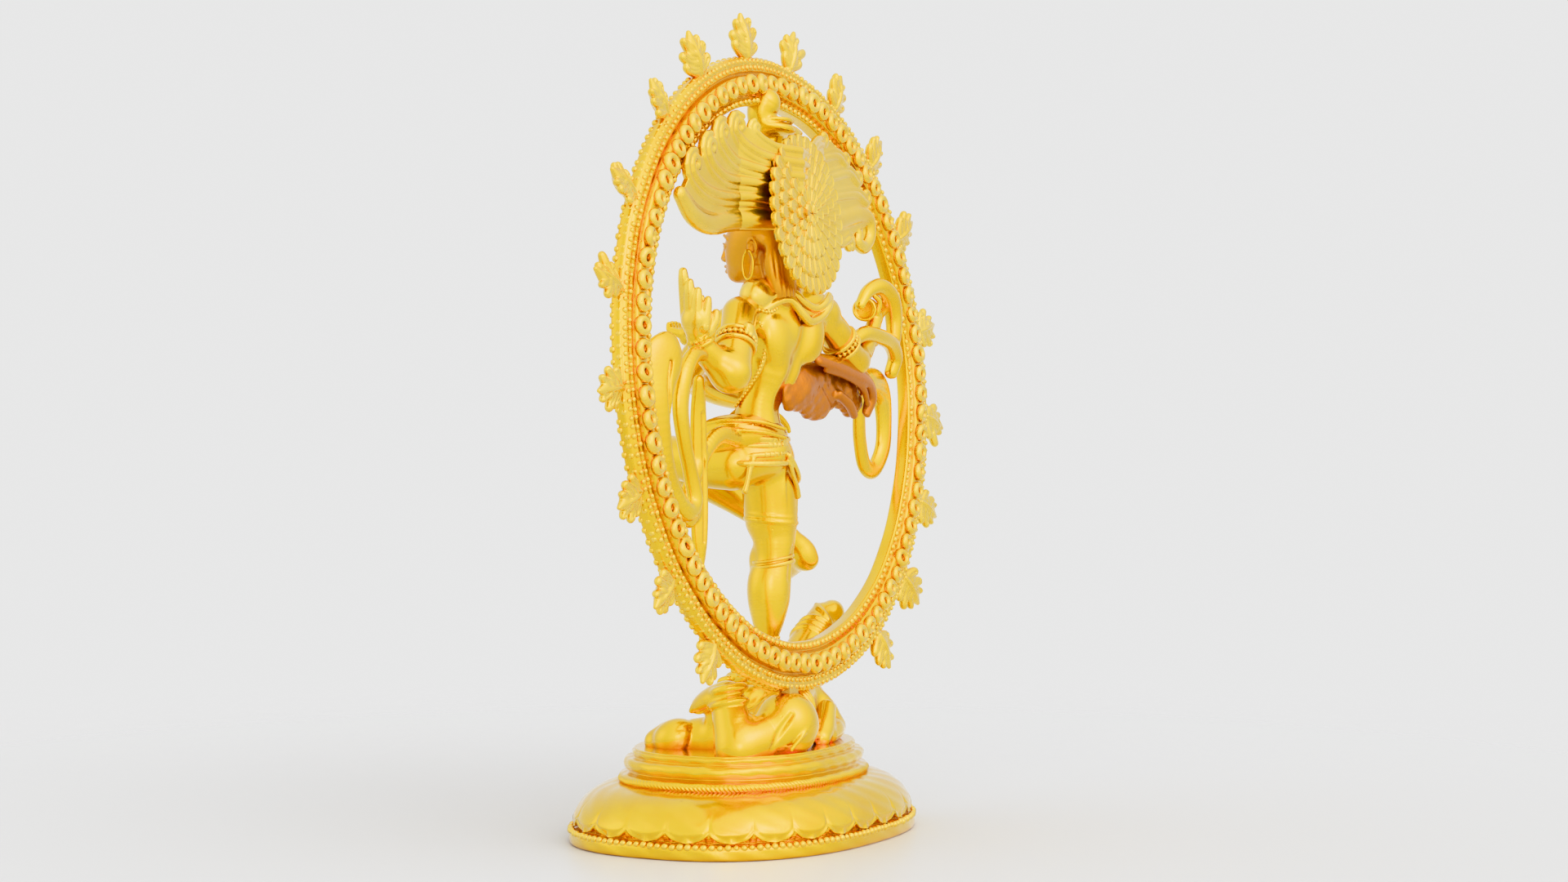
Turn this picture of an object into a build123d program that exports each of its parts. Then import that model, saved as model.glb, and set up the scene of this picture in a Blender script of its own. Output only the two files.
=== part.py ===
from build123d import *
import math
import os
from itertools import pairwise

# A cast brass dancing figure inside a ring of flames, on an inverted lotus pedestal.
# Millimetres, +Z up. The origin is the centre of the pedestal's foot, on the surface
# it rests on. The figure faces -Y, so its own left side is +X.

os.makedirs("parts", exist_ok=True)

# Pedestal: every level has the same rounded-oblong outline at its own scale.
BASE_HALF_WIDTH = 112.6
BASE_HALF_DEPTH = 84.7
BASE_EXPONENT = 2.4
OUTLINE_POINTS = 40
RIM_HEIGHT = 8.0
DOME_TOP = 32.0
LEDGE_TOP = 38.0
COLLAR_TOP = 45.5
PLATE_TOP = 50.5
DOME_LEVELS = [(8.0, 0.985), (14.0, 0.975), (21.0, 0.925), (27.5, 0.825), (32.0, 0.715)]
LEDGE_SCALE = 0.71
COLLAR_SCALE = 0.675
COLLAR_BULGE = 0.694
PLATE_SCALE = 0.633
WALL_SCALE = 0.045
TOP_WALL = 5.0

# Sheet plate that closes the hollow pedestal from below.
FLOOR_GAP = 0.6
SHEET = 1.6
SHEET_CLEARANCE = 0.3
SHEET_SCALE = 0.965
SCREW_COUNT = 6
SCREW_RADIUS = 1.5
SCREW_LENGTH = 9.0
SCREW_HEAD_RADIUS = 2.9
BOSS_RADIUS = 4.5
BOSS_TOP = 15.0
BOSS_SCALE = 0.895
RUNNING_GAP = 0.05

# Studs that hold the dwarf down, locked by nuts inside the pedestal.
STUD_RADIUS = 2.5
STUD_CENTRES = [(24.0, 34.0), (-24.0, 14.0)]
STUD_TOP = 66.0
STUD_BOTTOM = 34.0
NUT_ACROSS_FLATS = 8.0
NUT_HEIGHT = 4.0
WASHER_RADIUS = 5.0
WASHER_HEIGHT = 1.0

# Aureole: a round ring that leans a little towards the front.
RING_CENTRE = Vector(0, 25.7, 257.8)
RING_LEAN = 4.84
RING_INNER = 149.5
RING_OUTER = 176.5
RING_FRONT = -5.5
RING_CREST = 4.5
ROSETTE_COUNT = 84
ROSETTE_CIRCLE = 162.4
ROSETTE_RADIUS = 5.75
ROSETTE_HOLE = 1.25
ROSETTE_HEIGHT = 2.0
FLAME_COUNT = 18
FLAME_PITCH = 17.3
FLAME_OFFSET = 5.9
FLAME_THICKNESS = 4.0
FLAME_PEG_RADIUS = 1.4
FLAME_PEG_LENGTH = 5.0
TONGUE_X = 22.0
TONGUE_WIDTH = 10.0
TONGUE_THICKNESS = 5.0
TONGUE_TOP = 169.5
TONGUE_BOTTOM = 195.0
SOCKET_DEPTH_SPARE = 5.0
RIVET_RADIUS = 1.0
RIVET_SPACING = 5.0
RIVET_DROP = 2.5

# Disc behind the head, on a round stem.
DISC_HEIGHT = 347.0
DISC_RADIUS = 44.0
DISC_THICKNESS = 5.0
DISC_FRONT = 36.0
STEM_BOSS_RADIUS = 5.0

# Dowels between the separately cast pieces of the figure.
DOWEL_RADIUS = 1.5
DOWEL_LENGTH = 10.0

# Sheets of spread hair each side of the head, in the plane of the aureole.
FAN_FRONT = 19.5
FAN_THICKNESS = 5.0
LEFT_FAN_EDGE = [
    (10, 334), (50, 329), (90, 331), (112, 350), (98, 366),
    (78, 381), (57, 391), (34, 395), (10, 374),
]
RIGHT_FAN_EDGE = [
    (-10, 334), (-56, 330), (-96, 329), (-113, 340), (-110, 354),
    (-96, 368), (-76, 384), (-42, 391), (-10, 374),
]

# Turn of every ball in a limb, which keeps the ball's seam off the edges where bones meet it.
BALL_TURN = (35, 20, 0)

# Hourglass drum in the rear right hand.
DRUM_CENTRE = (-104.0, 27.0, 291.0)
DRUM_DIRECTION = (0.9, 0.35, 0.0)

ring_normal = Vector(0, math.cos(math.radians(RING_LEAN)), math.sin(math.radians(RING_LEAN)))
ring_up = Vector(0, -ring_normal.Z, ring_normal.Y)
ring_plane = Plane(origin=RING_CENTRE, x_dir=(-1, 0, 0), z_dir=ring_normal)
ring_section = Plane(origin=RING_CENTRE, x_dir=(1, 0, 0), z_dir=ring_up)
rivet_centres = [
    (-TONGUE_X + side * RIVET_SPACING / 2, -TONGUE_TOP - RIVET_DROP) for side in (-1, 1)
]


def outline_point(scale, turn):
    """A point of the pedestal's outline, at a turn from 0 to 1 around it."""
    angle = 2 * math.pi * turn
    cosine, sine = math.cos(angle), math.sin(angle)
    power = 2 / BASE_EXPONENT
    x = BASE_HALF_WIDTH * scale * math.copysign(abs(cosine) ** power, cosine)
    y = BASE_HALF_DEPTH * scale * math.copysign(abs(sine) ** power, sine)
    return x, y


def outline(scale):
    """Add the pedestal's outline, at one scale, to the open sketch."""
    points = [outline_point(scale, i / OUTLINE_POINTS) for i in range(OUTLINE_POINTS)]
    with BuildLine() as edge:
        Spline(points, periodic=True)
    make_face(edge.edges())


def slab(scale, bottom, top, mode=Mode.ADD):
    """Add or cut a straight-sided level of the pedestal."""
    with BuildSketch(Plane.XY.offset(bottom)) as level:
        outline(scale)
    extrude(level.sketch, amount=top - bottom, mode=mode)


def swell(levels, mode=Mode.ADD):
    """Add or cut a curved level that runs through (height, scale) outlines."""
    sections = []
    for height, scale in levels:
        with BuildSketch(Plane.XY.offset(height)) as level:
            outline(scale)
        sections.append(level.sketch)
    loft(sections, mode=mode)


def bone(start, end, start_radius, end_radius):
    """Add a round tapered bar between two points."""
    axis = Vector(*end) - Vector(*start)
    with BuildSketch(Plane(origin=start, z_dir=axis)) as first:
        Circle(start_radius)
    with BuildSketch(Plane(origin=end, z_dir=axis)) as last:
        Circle(end_radius)
    loft([first.sketch, last.sketch])


def limb(*joints):
    """Add a rounded limb: a ball at each (x, y, z, radius) joint, and bones between them."""
    slim = 0.95
    for x, y, z, radius in joints:
        with Locations((x, y, z)):
            Sphere(radius, rotation=BALL_TURN)
    for (*start, start_radius), (*end, end_radius) in pairwise(joints):
        bone(start, end, slim * start_radius, slim * end_radius)


def carve(*pieces):
    """Cut the open part back to the finished pieces that it is fitted against."""
    for piece in pieces:
        add(piece.part, mode=Mode.SUBTRACT)


def ribbon(points, width, thickness, side=(0, 1, 0)):
    """Add a flat band of even section along a smooth path through the points."""
    with BuildLine() as path:
        Spline(points)
    heading = path.line % 0
    across = Vector(*side).cross(heading)
    with BuildSketch(Plane(origin=path.line @ 0, x_dir=across, z_dir=heading)) as section:
        RectangleRounded(width, thickness, thickness * 0.45)
    sweep(section.sketch, path=path.line)


# ---------------------------------------------------------------- pedestal
boss_turns = [(i + 0.5) / SCREW_COUNT for i in range(SCREW_COUNT)]
boss_centres = [outline_point(BOSS_SCALE, turn) for turn in boss_turns]
sheet_top = FLOOR_GAP + SHEET

with BuildPart() as lotus_pedestal:
    slab(1.0, 0, RIM_HEIGHT)
    swell(DOME_LEVELS)
    slab(LEDGE_SCALE, DOME_TOP, LEDGE_TOP)
    collar_middle = 0.5 * (LEDGE_TOP + COLLAR_TOP)
    swell([(LEDGE_TOP, COLLAR_SCALE), (collar_middle, COLLAR_BULGE), (COLLAR_TOP, COLLAR_SCALE)])
    slab(PLATE_SCALE, COLLAR_TOP, PLATE_TOP)
    slab(SHEET_SCALE, 0, sheet_top, mode=Mode.SUBTRACT)
    slab(1.0 - WALL_SCALE, sheet_top, RIM_HEIGHT, mode=Mode.SUBTRACT)
    inner_levels = [(height, level - WALL_SCALE) for height, level in DOME_LEVELS]
    swell(inner_levels, mode=Mode.SUBTRACT)
    slab(PLATE_SCALE - WALL_SCALE, DOME_TOP, PLATE_TOP - TOP_WALL, mode=Mode.SUBTRACT)
    with BuildSketch(Plane.XY.offset(sheet_top)):
        with Locations(*boss_centres):
            Circle(BOSS_RADIUS)
    extrude(amount=BOSS_TOP - sheet_top)
    with BuildSketch(Plane.XY.offset(sheet_top)):
        with Locations(*boss_centres):
            Circle(SCREW_RADIUS + RUNNING_GAP)
    extrude(amount=SCREW_LENGTH, mode=Mode.SUBTRACT)
    with BuildSketch(Plane.XY.offset(PLATE_TOP - TOP_WALL)):
        with Locations(*STUD_CENTRES):
            Circle(STUD_RADIUS + RUNNING_GAP)
    extrude(amount=TOP_WALL, mode=Mode.SUBTRACT)

with BuildPart() as bottom_plate:
    slab(SHEET_SCALE - SHEET_CLEARANCE / BASE_HALF_DEPTH, FLOOR_GAP, sheet_top)
    with Locations(Plane.XY.offset(FLOOR_GAP).rotated((180, 0, 0))):
        with Locations(*[(x, -y) for x, y in boss_centres]):
            CounterSinkHole(SCREW_RADIUS + RUNNING_GAP, SCREW_HEAD_RADIUS, depth=SHEET)

with BuildPart() as plate_screws:
    head_height = SCREW_HEAD_RADIUS - SCREW_RADIUS
    for x, y in boss_centres:
        with BuildSketch(Plane(origin=(x, y, 0), x_dir=(1, 0, 0), z_dir=(0, -1, 0))):
            with BuildLine():
                Polyline(
                    (0, FLOOR_GAP),
                    (SCREW_HEAD_RADIUS - 2 * RUNNING_GAP, FLOOR_GAP),
                    (SCREW_RADIUS, FLOOR_GAP + head_height),
                    (SCREW_RADIUS, FLOOR_GAP + SCREW_LENGTH),
                    (0, FLOOR_GAP + SCREW_LENGTH),
                    close=True,
                )
            make_face()
        revolve(axis=Axis((x, y, 0), (0, 0, 1)))

# ---------------------------------------------------------------- dwarf's fastenings
with BuildPart() as dwarf_studs:
    with BuildSketch(Plane.XY.offset(STUD_BOTTOM)):
        with Locations(*STUD_CENTRES):
            Circle(STUD_RADIUS)
    extrude(amount=STUD_TOP - STUD_BOTTOM)

with BuildPart() as dwarf_washers:
    with BuildSketch(Plane.XY.offset(PLATE_TOP - TOP_WALL - WASHER_HEIGHT)):
        with Locations(*STUD_CENTRES):
            Circle(WASHER_RADIUS)
            Circle(STUD_RADIUS + RUNNING_GAP, mode=Mode.SUBTRACT)
    extrude(amount=WASHER_HEIGHT)

with BuildPart() as dwarf_nuts:
    with BuildSketch(Plane.XY.offset(PLATE_TOP - TOP_WALL - WASHER_HEIGHT - NUT_HEIGHT)):
        with Locations(*STUD_CENTRES):
            RegularPolygon(NUT_ACROSS_FLATS / 2, 6, major_radius=False)
            Circle(STUD_RADIUS + RUNNING_GAP, mode=Mode.SUBTRACT)
    extrude(amount=NUT_HEIGHT)

# ---------------------------------------------------------------- aureole
with BuildPart() as aureole_tongue:
    with BuildSketch(ring_plane):
        with Locations((-TONGUE_X, -(TONGUE_TOP + TONGUE_BOTTOM) / 2)):
            Rectangle(TONGUE_WIDTH, TONGUE_BOTTOM - TONGUE_TOP)
    extrude(amount=TONGUE_THICKNESS / 2, both=True)
    with BuildSketch(ring_plane.offset(RING_FRONT)):
        with Locations(*rivet_centres):
            Circle(RIVET_RADIUS + RUNNING_GAP)
    extrude(amount=RING_CREST - RING_FRONT, mode=Mode.SUBTRACT)

with BuildPart() as tongue_rivets:
    with BuildSketch(ring_plane.offset(RING_FRONT + 1.0)):
        with Locations(*rivet_centres):
            Circle(RIVET_RADIUS)
    extrude(amount=RING_CREST - RING_FRONT - 4.0)

flame_angle = 90 + FLAME_OFFSET - FLAME_PITCH * (FLAME_COUNT // 2)
flame_span = FLAME_PITCH * (FLAME_COUNT - 1)

with BuildSketch() as flame_outline:
    with BuildLine():
        Polyline(
            (0, 2.6),
            (3.5, 3.0),
            (6.0, 8.5),
            (9.5, 6.5),
            (11.5, 10.5),
            (14.5, 6.0),
            (17.5, 7.5),
            (19.0, 3.0),
            (24.0, 0),
            (19.0, -3.0),
            (17.5, -7.5),
            (14.5, -6.0),
            (11.5, -10.5),
            (9.5, -6.5),
            (6.0, -8.5),
            (3.5, -3.0),
            (0, -2.6),
            close=True,
        )
    make_face()

with BuildPart() as flames:
    with BuildSketch(ring_plane.offset(-FLAME_THICKNESS / 2 - 0.5)):
        with PolarLocations(RING_OUTER + 0.2, FLAME_COUNT, flame_angle, flame_span, endpoint=True):
            add(flame_outline.sketch)
    extrude(amount=FLAME_THICKNESS)
    for i in range(FLAME_COUNT):
        angle = math.radians(flame_angle + i * FLAME_PITCH)
        outward = math.cos(angle) * ring_plane.x_dir + math.sin(angle) * ring_plane.y_dir
        root = RING_CENTRE - 0.5 * ring_normal + (RING_OUTER - FLAME_PEG_LENGTH) * outward
        with BuildSketch(Plane(origin=root, z_dir=outward)):
            Circle(FLAME_PEG_RADIUS)
        extrude(amount=FLAME_PEG_LENGTH + 1.0)

with BuildPart() as aureole_ring:
    with BuildSketch(ring_section):
        with BuildLine():
            Polyline(
                (RING_INNER, RING_FRONT + 0.8),
                (RING_INNER, 2.6),
                (RING_INNER + 3.5, 3.4),
                (RING_INNER + 5.0, 2.2),
                (RING_INNER + 6.5, 2.2),
                (RING_INNER + 7.5, RING_CREST),
                (RING_OUTER - 8.8, RING_CREST),
                (RING_OUTER - 7.8, 1.6),
                (RING_OUTER - 6.4, 1.6),
                (RING_OUTER - 5.4, 2.8),
                (RING_OUTER - 2.2, 2.6),
                (RING_OUTER - 1.6, 1.2),
                (RING_OUTER, 0.6),
                (RING_OUTER, RING_FRONT + 1.5),
                (RING_OUTER - 1.5, RING_FRONT),
                (RING_INNER + 1.5, RING_FRONT),
                close=True,
            )
        make_face()
    revolve(axis=Axis(RING_CENTRE, ring_normal))
    for i in range(FLAME_COUNT):
        angle = math.radians(flame_angle + i * FLAME_PITCH)
        outward = math.cos(angle) * ring_plane.x_dir + math.sin(angle) * ring_plane.y_dir
        root = RING_CENTRE - 0.5 * ring_normal + (RING_OUTER - FLAME_PEG_LENGTH - 0.3) * outward
        with BuildSketch(Plane(origin=root, z_dir=outward)):
            Circle(FLAME_PEG_RADIUS + RUNNING_GAP)
        extrude(amount=FLAME_PEG_LENGTH + 2.0, mode=Mode.SUBTRACT)
    with BuildSketch(ring_plane):
        with Locations((-TONGUE_X, -TONGUE_TOP - 10.0)):
            Rectangle(TONGUE_WIDTH, 20.0)
    extrude(amount=TONGUE_THICKNESS / 2, both=True, mode=Mode.SUBTRACT)
    with BuildSketch(ring_plane.offset(RING_FRONT + 1.0 - RUNNING_GAP)):
        with Locations(*rivet_centres):
            Circle(RIVET_RADIUS + RUNNING_GAP)
    extrude(amount=RING_CREST - RING_FRONT, mode=Mode.SUBTRACT)

with BuildPart() as rosettes:
    with BuildSketch(ring_plane.offset(RING_CREST)):
        with PolarLocations(ROSETTE_CIRCLE, ROSETTE_COUNT):
            Circle(ROSETTE_RADIUS)
            Circle(ROSETTE_HOLE, mode=Mode.SUBTRACT)
    extrude(amount=ROSETTE_HEIGHT)

# ---------------------------------------------------------------- dowels of the figure
# Each is centred on the joint face between two castings and points across it.
dowels = {
    "foot": ((-5.0, 13.0, 83.0), (0, 0, 1)),
    "standing_hip": ((-11.0, 9.5, 203.0), (0, 0, 1)),
    "raised_hip": ((16.0, -8.0, 203.0), (0.1, -1, -0.1)),
    "neck": ((-2.0, 8.0, 307.0), (0, -0.2, 1)),
    "left_rear_shoulder": ((27.0, 10.5, 290.0), (1, 0.3, -0.7)),
    "left_front_shoulder": ((15.0, -7.0, 284.0), (0, -1, -0.4)),
    "right_rear_shoulder": ((-46.0, 27.0, 289.0), (-1, 0.1, -0.7)),
    "right_front_shoulder": ((-33.0, 7.0, 281.0), (-0.3, -1, -0.4)),
    "dwarf_neck": ((-70.0, 9.0, 104.0), (-1, -0.1, 0.5)),
    "crown": ((0.0, 3.0, 352.0), (0, 0.3, 1)),
}


def dowel_set(radius, length):
    """Add every dowel of the figure to the open part."""
    for centre, direction in dowels.values():
        with BuildSketch(Plane(origin=centre, z_dir=direction)) as end:
            Circle(radius)
        extrude(end.sketch, amount=length / 2, both=True)


with BuildPart() as dowel_pins:
    dowel_set(DOWEL_RADIUS, DOWEL_LENGTH)

with BuildPart() as dowel_bores:
    dowel_set(DOWEL_RADIUS + RUNNING_GAP, DOWEL_LENGTH + 1.0)

# ---------------------------------------------------------------- dwarf
with BuildPart() as aureole_tongue_socket:
    with BuildSketch(ring_plane):
        with Locations((-TONGUE_X, -(TONGUE_TOP + TONGUE_BOTTOM + SOCKET_DEPTH_SPARE) / 2)):
            Rectangle(TONGUE_WIDTH + 2 * RUNNING_GAP, TONGUE_BOTTOM - TONGUE_TOP + SOCKET_DEPTH_SPARE)
    extrude(amount=TONGUE_THICKNESS / 2 + RUNNING_GAP, both=True)

with BuildPart() as dwarf_body:
    limb((27, 40, 64.5, 17.8), (2, 25, 66, 16.5), (-26, 14, 74, 16.5), (-46, 11, 88, 13.5), (-68, 9, 102, 9))
    limb((2, 22, 60, 16.5), (-26, 12, 63, 16), (-46, 9, 66, 13))
    limb((34, 34, 62, 13), (50, 26, 62, 11), (44, 14, 84, 7), (41, -6, 75, 5.5))
    limb((16, 26, 62, 13), (40, -20, 58, 12), (22, -30, 60, 6))
    limb((-44, 20, 84, 9), (-62, 32, 62, 8), (-74, 18, 56, 6))
    limb((-40, 2, 84, 9), (-58, -18, 62, 8), (-74, -14, 58, 6))
    with Locations((0, 0, PLATE_TOP)):
        Box(
            3 * BASE_HALF_WIDTH,
            3 * BASE_HALF_DEPTH,
            PLATE_TOP,
            align=(Align.CENTER, Align.CENTER, Align.MAX),
            mode=Mode.SUBTRACT,
        )
    carve(dowel_bores, aureole_tongue_socket)
    with BuildSketch(Plane.XY.offset(PLATE_TOP)):
        with Locations(*STUD_CENTRES):
            Circle(STUD_RADIUS + RUNNING_GAP)
    extrude(amount=STUD_TOP - PLATE_TOP + 0.5, mode=Mode.SUBTRACT)

with BuildPart() as dwarf_head:
    limb((-78, 8, 108, 10), (-88, 6, 112, 12.5))
    carve(dwarf_body, dowel_bores)

# ---------------------------------------------------------------- figure
with BuildPart() as torso:
    limb((-4, 8, 214, 19), (0, 8, 242, 12.5), (-8, 16, 276, 18.5), (-6, 15, 292, 13))
    limb((12, 2, 212, 17), (-4, 8, 214, 18))
    limb((22, 9, 290, 9), (-8, 16, 290, 10), (-42, 25, 289, 9))
    carve(dowel_bores)

with BuildPart() as disc_stem:
    with BuildSketch(Plane.XZ.offset(-6)):
        with Locations((0, DISC_HEIGHT)):
            Circle(DOWEL_RADIUS)
    extrude(amount=-34.5)
    with BuildSketch(Plane.XZ.offset(-DISC_FRONT / 2)):
        with Locations((0, DISC_HEIGHT)):
            Circle(STEM_BOSS_RADIUS)
    extrude(amount=-DISC_FRONT / 2)

with BuildPart() as head:
    limb((-3, 11, 300, 8), (-1, 5, 312, 8))
    limb((0, 0, 328, 18), (0, 0, 342, 14.5))
    carve(torso, dowel_bores, disc_stem)

with BuildPart() as crown:
    limb((0, 5, 360, 13), (0, 9, 382, 11.5), (0, 12, 395, 10.5))
    limb((0, 14, 395, 5), (0, 29, 407, 2))
    carve(head, dowel_bores, disc_stem)

with BuildPart() as standing_leg:
    limb((-11, 9, 206, 15), (-12, 10, 190, 15), (-12, 12, 165, 12.5), (-8, 11, 135, 11.5), (-5, 10, 106, 7.5))
    limb((-5, 10, 106, 7.5), (-5, 13, 90, 8), (-9, -10, 88, 6), (-11, -20, 86, 4))
    carve(torso, dwarf_body, dowel_bores)

with BuildPart() as raised_leg:
    limb((14, -4, 206, 14), (18, -38, 200, 11.5), (-20, -26, 176, 9), (-56, -6, 160, 7), (-68, 1, 150, 7.5))
    limb((-68, 1, 150, 7), (-80, -14, 142, 5), (-88, -26, 138, 4))
    carve(torso, standing_leg, dowel_bores)

with BuildPart() as left_rear_arm:
    limb((28, 11, 290, 10.5), (40, 16, 274, 10), (50, 20, 260, 10.5), (62, 12, 268, 7), (69, 8, 278, 5.5))
    limb((69, 8, 278, 5.5), (70, 8, 290, 6))
    carve(torso, head, dowel_bores)

with BuildPart() as left_front_arm:
    limb((16, -4, 284, 10), (12, -32, 260, 9), (-28, -32, 246, 7), (-58, -26, 240, 5.5), (-80, -20, 228, 4.5))
    carve(torso, head, left_rear_arm, dowel_bores)

with BuildPart() as right_rear_arm:
    limb((-46, 27, 288, 10.5), (-64, 30, 274, 9), (-80, 30, 266, 8.5), (-98, 29, 280, 6), (-113, 29, 296, 5))
    limb((-113, 29, 296, 5), (-112, 28, 305, 5), (-104, 27, 308, 4))
    carve(torso, head, dowel_bores)

with BuildPart() as right_front_arm:
    limb((-34, 8, 284, 10), (-52, -2, 263, 8.5), (-40, -42, 272, 6), (-33, -54, 283, 6), (-32, -58, 294, 4.5))
    carve(torso, head, right_rear_arm, left_front_arm, dowel_bores)

with BuildPart() as right_drape:
    with BuildSketch(Plane.XZ.offset(-22)):
        with BuildLine():
            Polyline((-24, 262), (-90, 258), (-96, 238), (-70, 231), (-24, 236), close=True)
        make_face()
    extrude(amount=7)
    carve(torso, right_rear_arm, right_front_arm, left_front_arm)

with BuildPart() as nape_disc:
    with BuildSketch(Plane.XZ.offset(-DISC_FRONT)):
        with Locations((0, DISC_HEIGHT)):
            Circle(DISC_RADIUS)
            Circle(DOWEL_RADIUS + RUNNING_GAP, mode=Mode.SUBTRACT)
    extrude(amount=-DISC_THICKNESS)

with BuildPart() as hair_fan_left:
    with BuildSketch(Plane.XZ.offset(-FAN_FRONT)):
        with BuildLine():
            Spline(*LEFT_FAN_EDGE)
            Line((10, 374), (10, 334))
        make_face()
    extrude(amount=-FAN_THICKNESS)
    carve(head, crown, disc_stem)

with BuildPart() as hair_fan_right:
    with BuildSketch(Plane.XZ.offset(-FAN_FRONT)):
        with BuildLine():
            Spline(*RIGHT_FAN_EDGE)
            Line((-10, 374), (-10, 334))
        make_face()
    extrude(amount=-FAN_THICKNESS)
    carve(head, crown, disc_stem)

with BuildPart() as earrings:
    for x in (20.5, -20.5):
        with BuildSketch(Plane.YZ.offset(x)) as hoop:
            with Locations((12, 317)):
                Ellipse(4.2, 8.5)
                Ellipse(3.2, 7.5, mode=Mode.SUBTRACT)
        extrude(amount=0.5, both=True)
    carve(head, torso, left_rear_arm, right_rear_arm, hair_fan_left, hair_fan_right)

with BuildPart() as palm_flame:
    with Locations((70, 8, 297)):
        Cone(3.0, 6.0, 6.0)
    with Locations((70, 8, 305)):
        Cone(5.5, 1.0, 12.0)
    carve(left_rear_arm)

drum_axis = Axis(DRUM_CENTRE, DRUM_DIRECTION)
drum_side = Vector(0, 0, 1).cross(Vector(*DRUM_DIRECTION))
drum_section = Plane(origin=DRUM_CENTRE, x_dir=(0, 0, 1), z_dir=drum_side)

with BuildPart() as drum:
    with BuildSketch(drum_section):
        with BuildLine():
            Polyline((0, -8), (7, -8), (3, -1), (3, 1), (7, 8), (0, 8), close=True)
        make_face()
    revolve(axis=drum_axis)
    carve(right_rear_arm)

left_scarf_path = [
    (114, 14, 268), (105, 15, 235), (94, 15, 205), (84, 15, 180),
    (76, 14, 205), (74, 14, 235), (70, 13, 258),
]
right_scarf_path = [
    (-126, 20, 254), (-140, 18, 240), (-138, 18, 215), (-122, 18, 199),
    (-108, 18, 215), (-102, 19, 236),
]

with BuildPart() as left_scarf:
    ribbon(left_scarf_path, 9, 5)
    carve(left_rear_arm)

with BuildPart() as right_scarf:
    ribbon(right_scarf_path, 9, 5)
    carve(right_rear_arm, right_drape)

with BuildPart() as right_cobra:
    limb((-84, 20, 263, 3.5), (-98, 20, 274, 3.5), (-114, 22, 272, 3.5), (-124, 25, 260, 3.5))
    carve(right_rear_arm, right_drape, right_scarf, drum)

with BuildPart() as sash:
    ribbon([(26, 10, 224), (46, 6, 208), (58, 5, 186), (60, 5, 152)], 9, 4)
    carve(torso, raised_leg, left_scarf)

with BuildPart() as necklace:
    with BuildSketch(Plane(origin=(-5, 13, 299), z_dir=(0, -0.25, 1))):
        Ellipse(19, 16)
        Ellipse(11, 9, mode=Mode.SUBTRACT)
    extrude(amount=2.5, both=True)
    carve(torso, head, left_rear_arm, right_rear_arm, left_front_arm, right_front_arm)

with BuildPart() as waist_belt:
    with BuildSketch(Plane(origin=(2, 7, 222), z_dir=(0.05, 0, 1))):
        Ellipse(24, 21)
    extrude(amount=3.5, both=True)
    carve(torso, standing_leg, raised_leg, sash)

with BuildPart() as armlets:
    with BuildSketch(Plane(origin=(39, 15, 275.5), z_dir=(0.6, 0.3, -0.75))):
        Circle(13)
        Circle(7, mode=Mode.SUBTRACT)
    extrude(amount=2, both=True)
    with BuildSketch(Plane(origin=(-62, 30, 276), z_dir=(-0.8, 0.1, -0.6))):
        Circle(12)
        Circle(6, mode=Mode.SUBTRACT)
    extrude(amount=2, both=True)
    carve(torso, left_rear_arm, right_rear_arm, left_front_arm, right_front_arm, right_drape)

with BuildPart() as anklets:
    with BuildSketch(Plane.XY.offset(152)):
        with Locations((-10, 11.5)):
            Circle(14)
            Circle(9, mode=Mode.SUBTRACT)
    extrude(amount=3)
    with BuildSketch(Plane.XY.offset(107)):
        with Locations((-5, 10)):
            Circle(9.5)
            Circle(5, mode=Mode.SUBTRACT)
    extrude(amount=3)
    carve(standing_leg, raised_leg)

# ---------------------------------------------------------------- output
pieces = {
    "lotus_pedestal": lotus_pedestal,
    "bottom_plate": bottom_plate,
    "plate_screws": plate_screws,
    "dwarf_studs": dwarf_studs,
    "dwarf_washers": dwarf_washers,
    "dwarf_nuts": dwarf_nuts,
    "dwarf_body": dwarf_body,
    "dwarf_head": dwarf_head,
    "torso": torso,
    "standing_leg": standing_leg,
    "raised_leg": raised_leg,
    "head": head,
    "crown": crown,
    "disc_stem": disc_stem,
    "nape_disc": nape_disc,
    "hair_fan_left": hair_fan_left,
    "hair_fan_right": hair_fan_right,
    "earrings": earrings,
    "necklace": necklace,
    "waist_belt": waist_belt,
    "armlets": armlets,
    "anklets": anklets,
    "left_rear_arm": left_rear_arm,
    "left_front_arm": left_front_arm,
    "right_rear_arm": right_rear_arm,
    "right_front_arm": right_front_arm,
    "palm_flame": palm_flame,
    "drum": drum,
    "left_scarf": left_scarf,
    "right_scarf": right_scarf,
    "right_cobra": right_cobra,
    "right_drape": right_drape,
    "sash": sash,
    "dowel_pins": dowel_pins,
    "aureole_ring": aureole_ring,
    "aureole_tongue": aureole_tongue,
    "tongue_rivets": tongue_rivets,
    "rosettes": rosettes,
    "flames": flames,
}

for label, piece in pieces.items():
    piece.part.label = label
    export_step(piece.part, f"parts/{label}.step")
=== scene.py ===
import math
from itertools import pairwise, product

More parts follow.
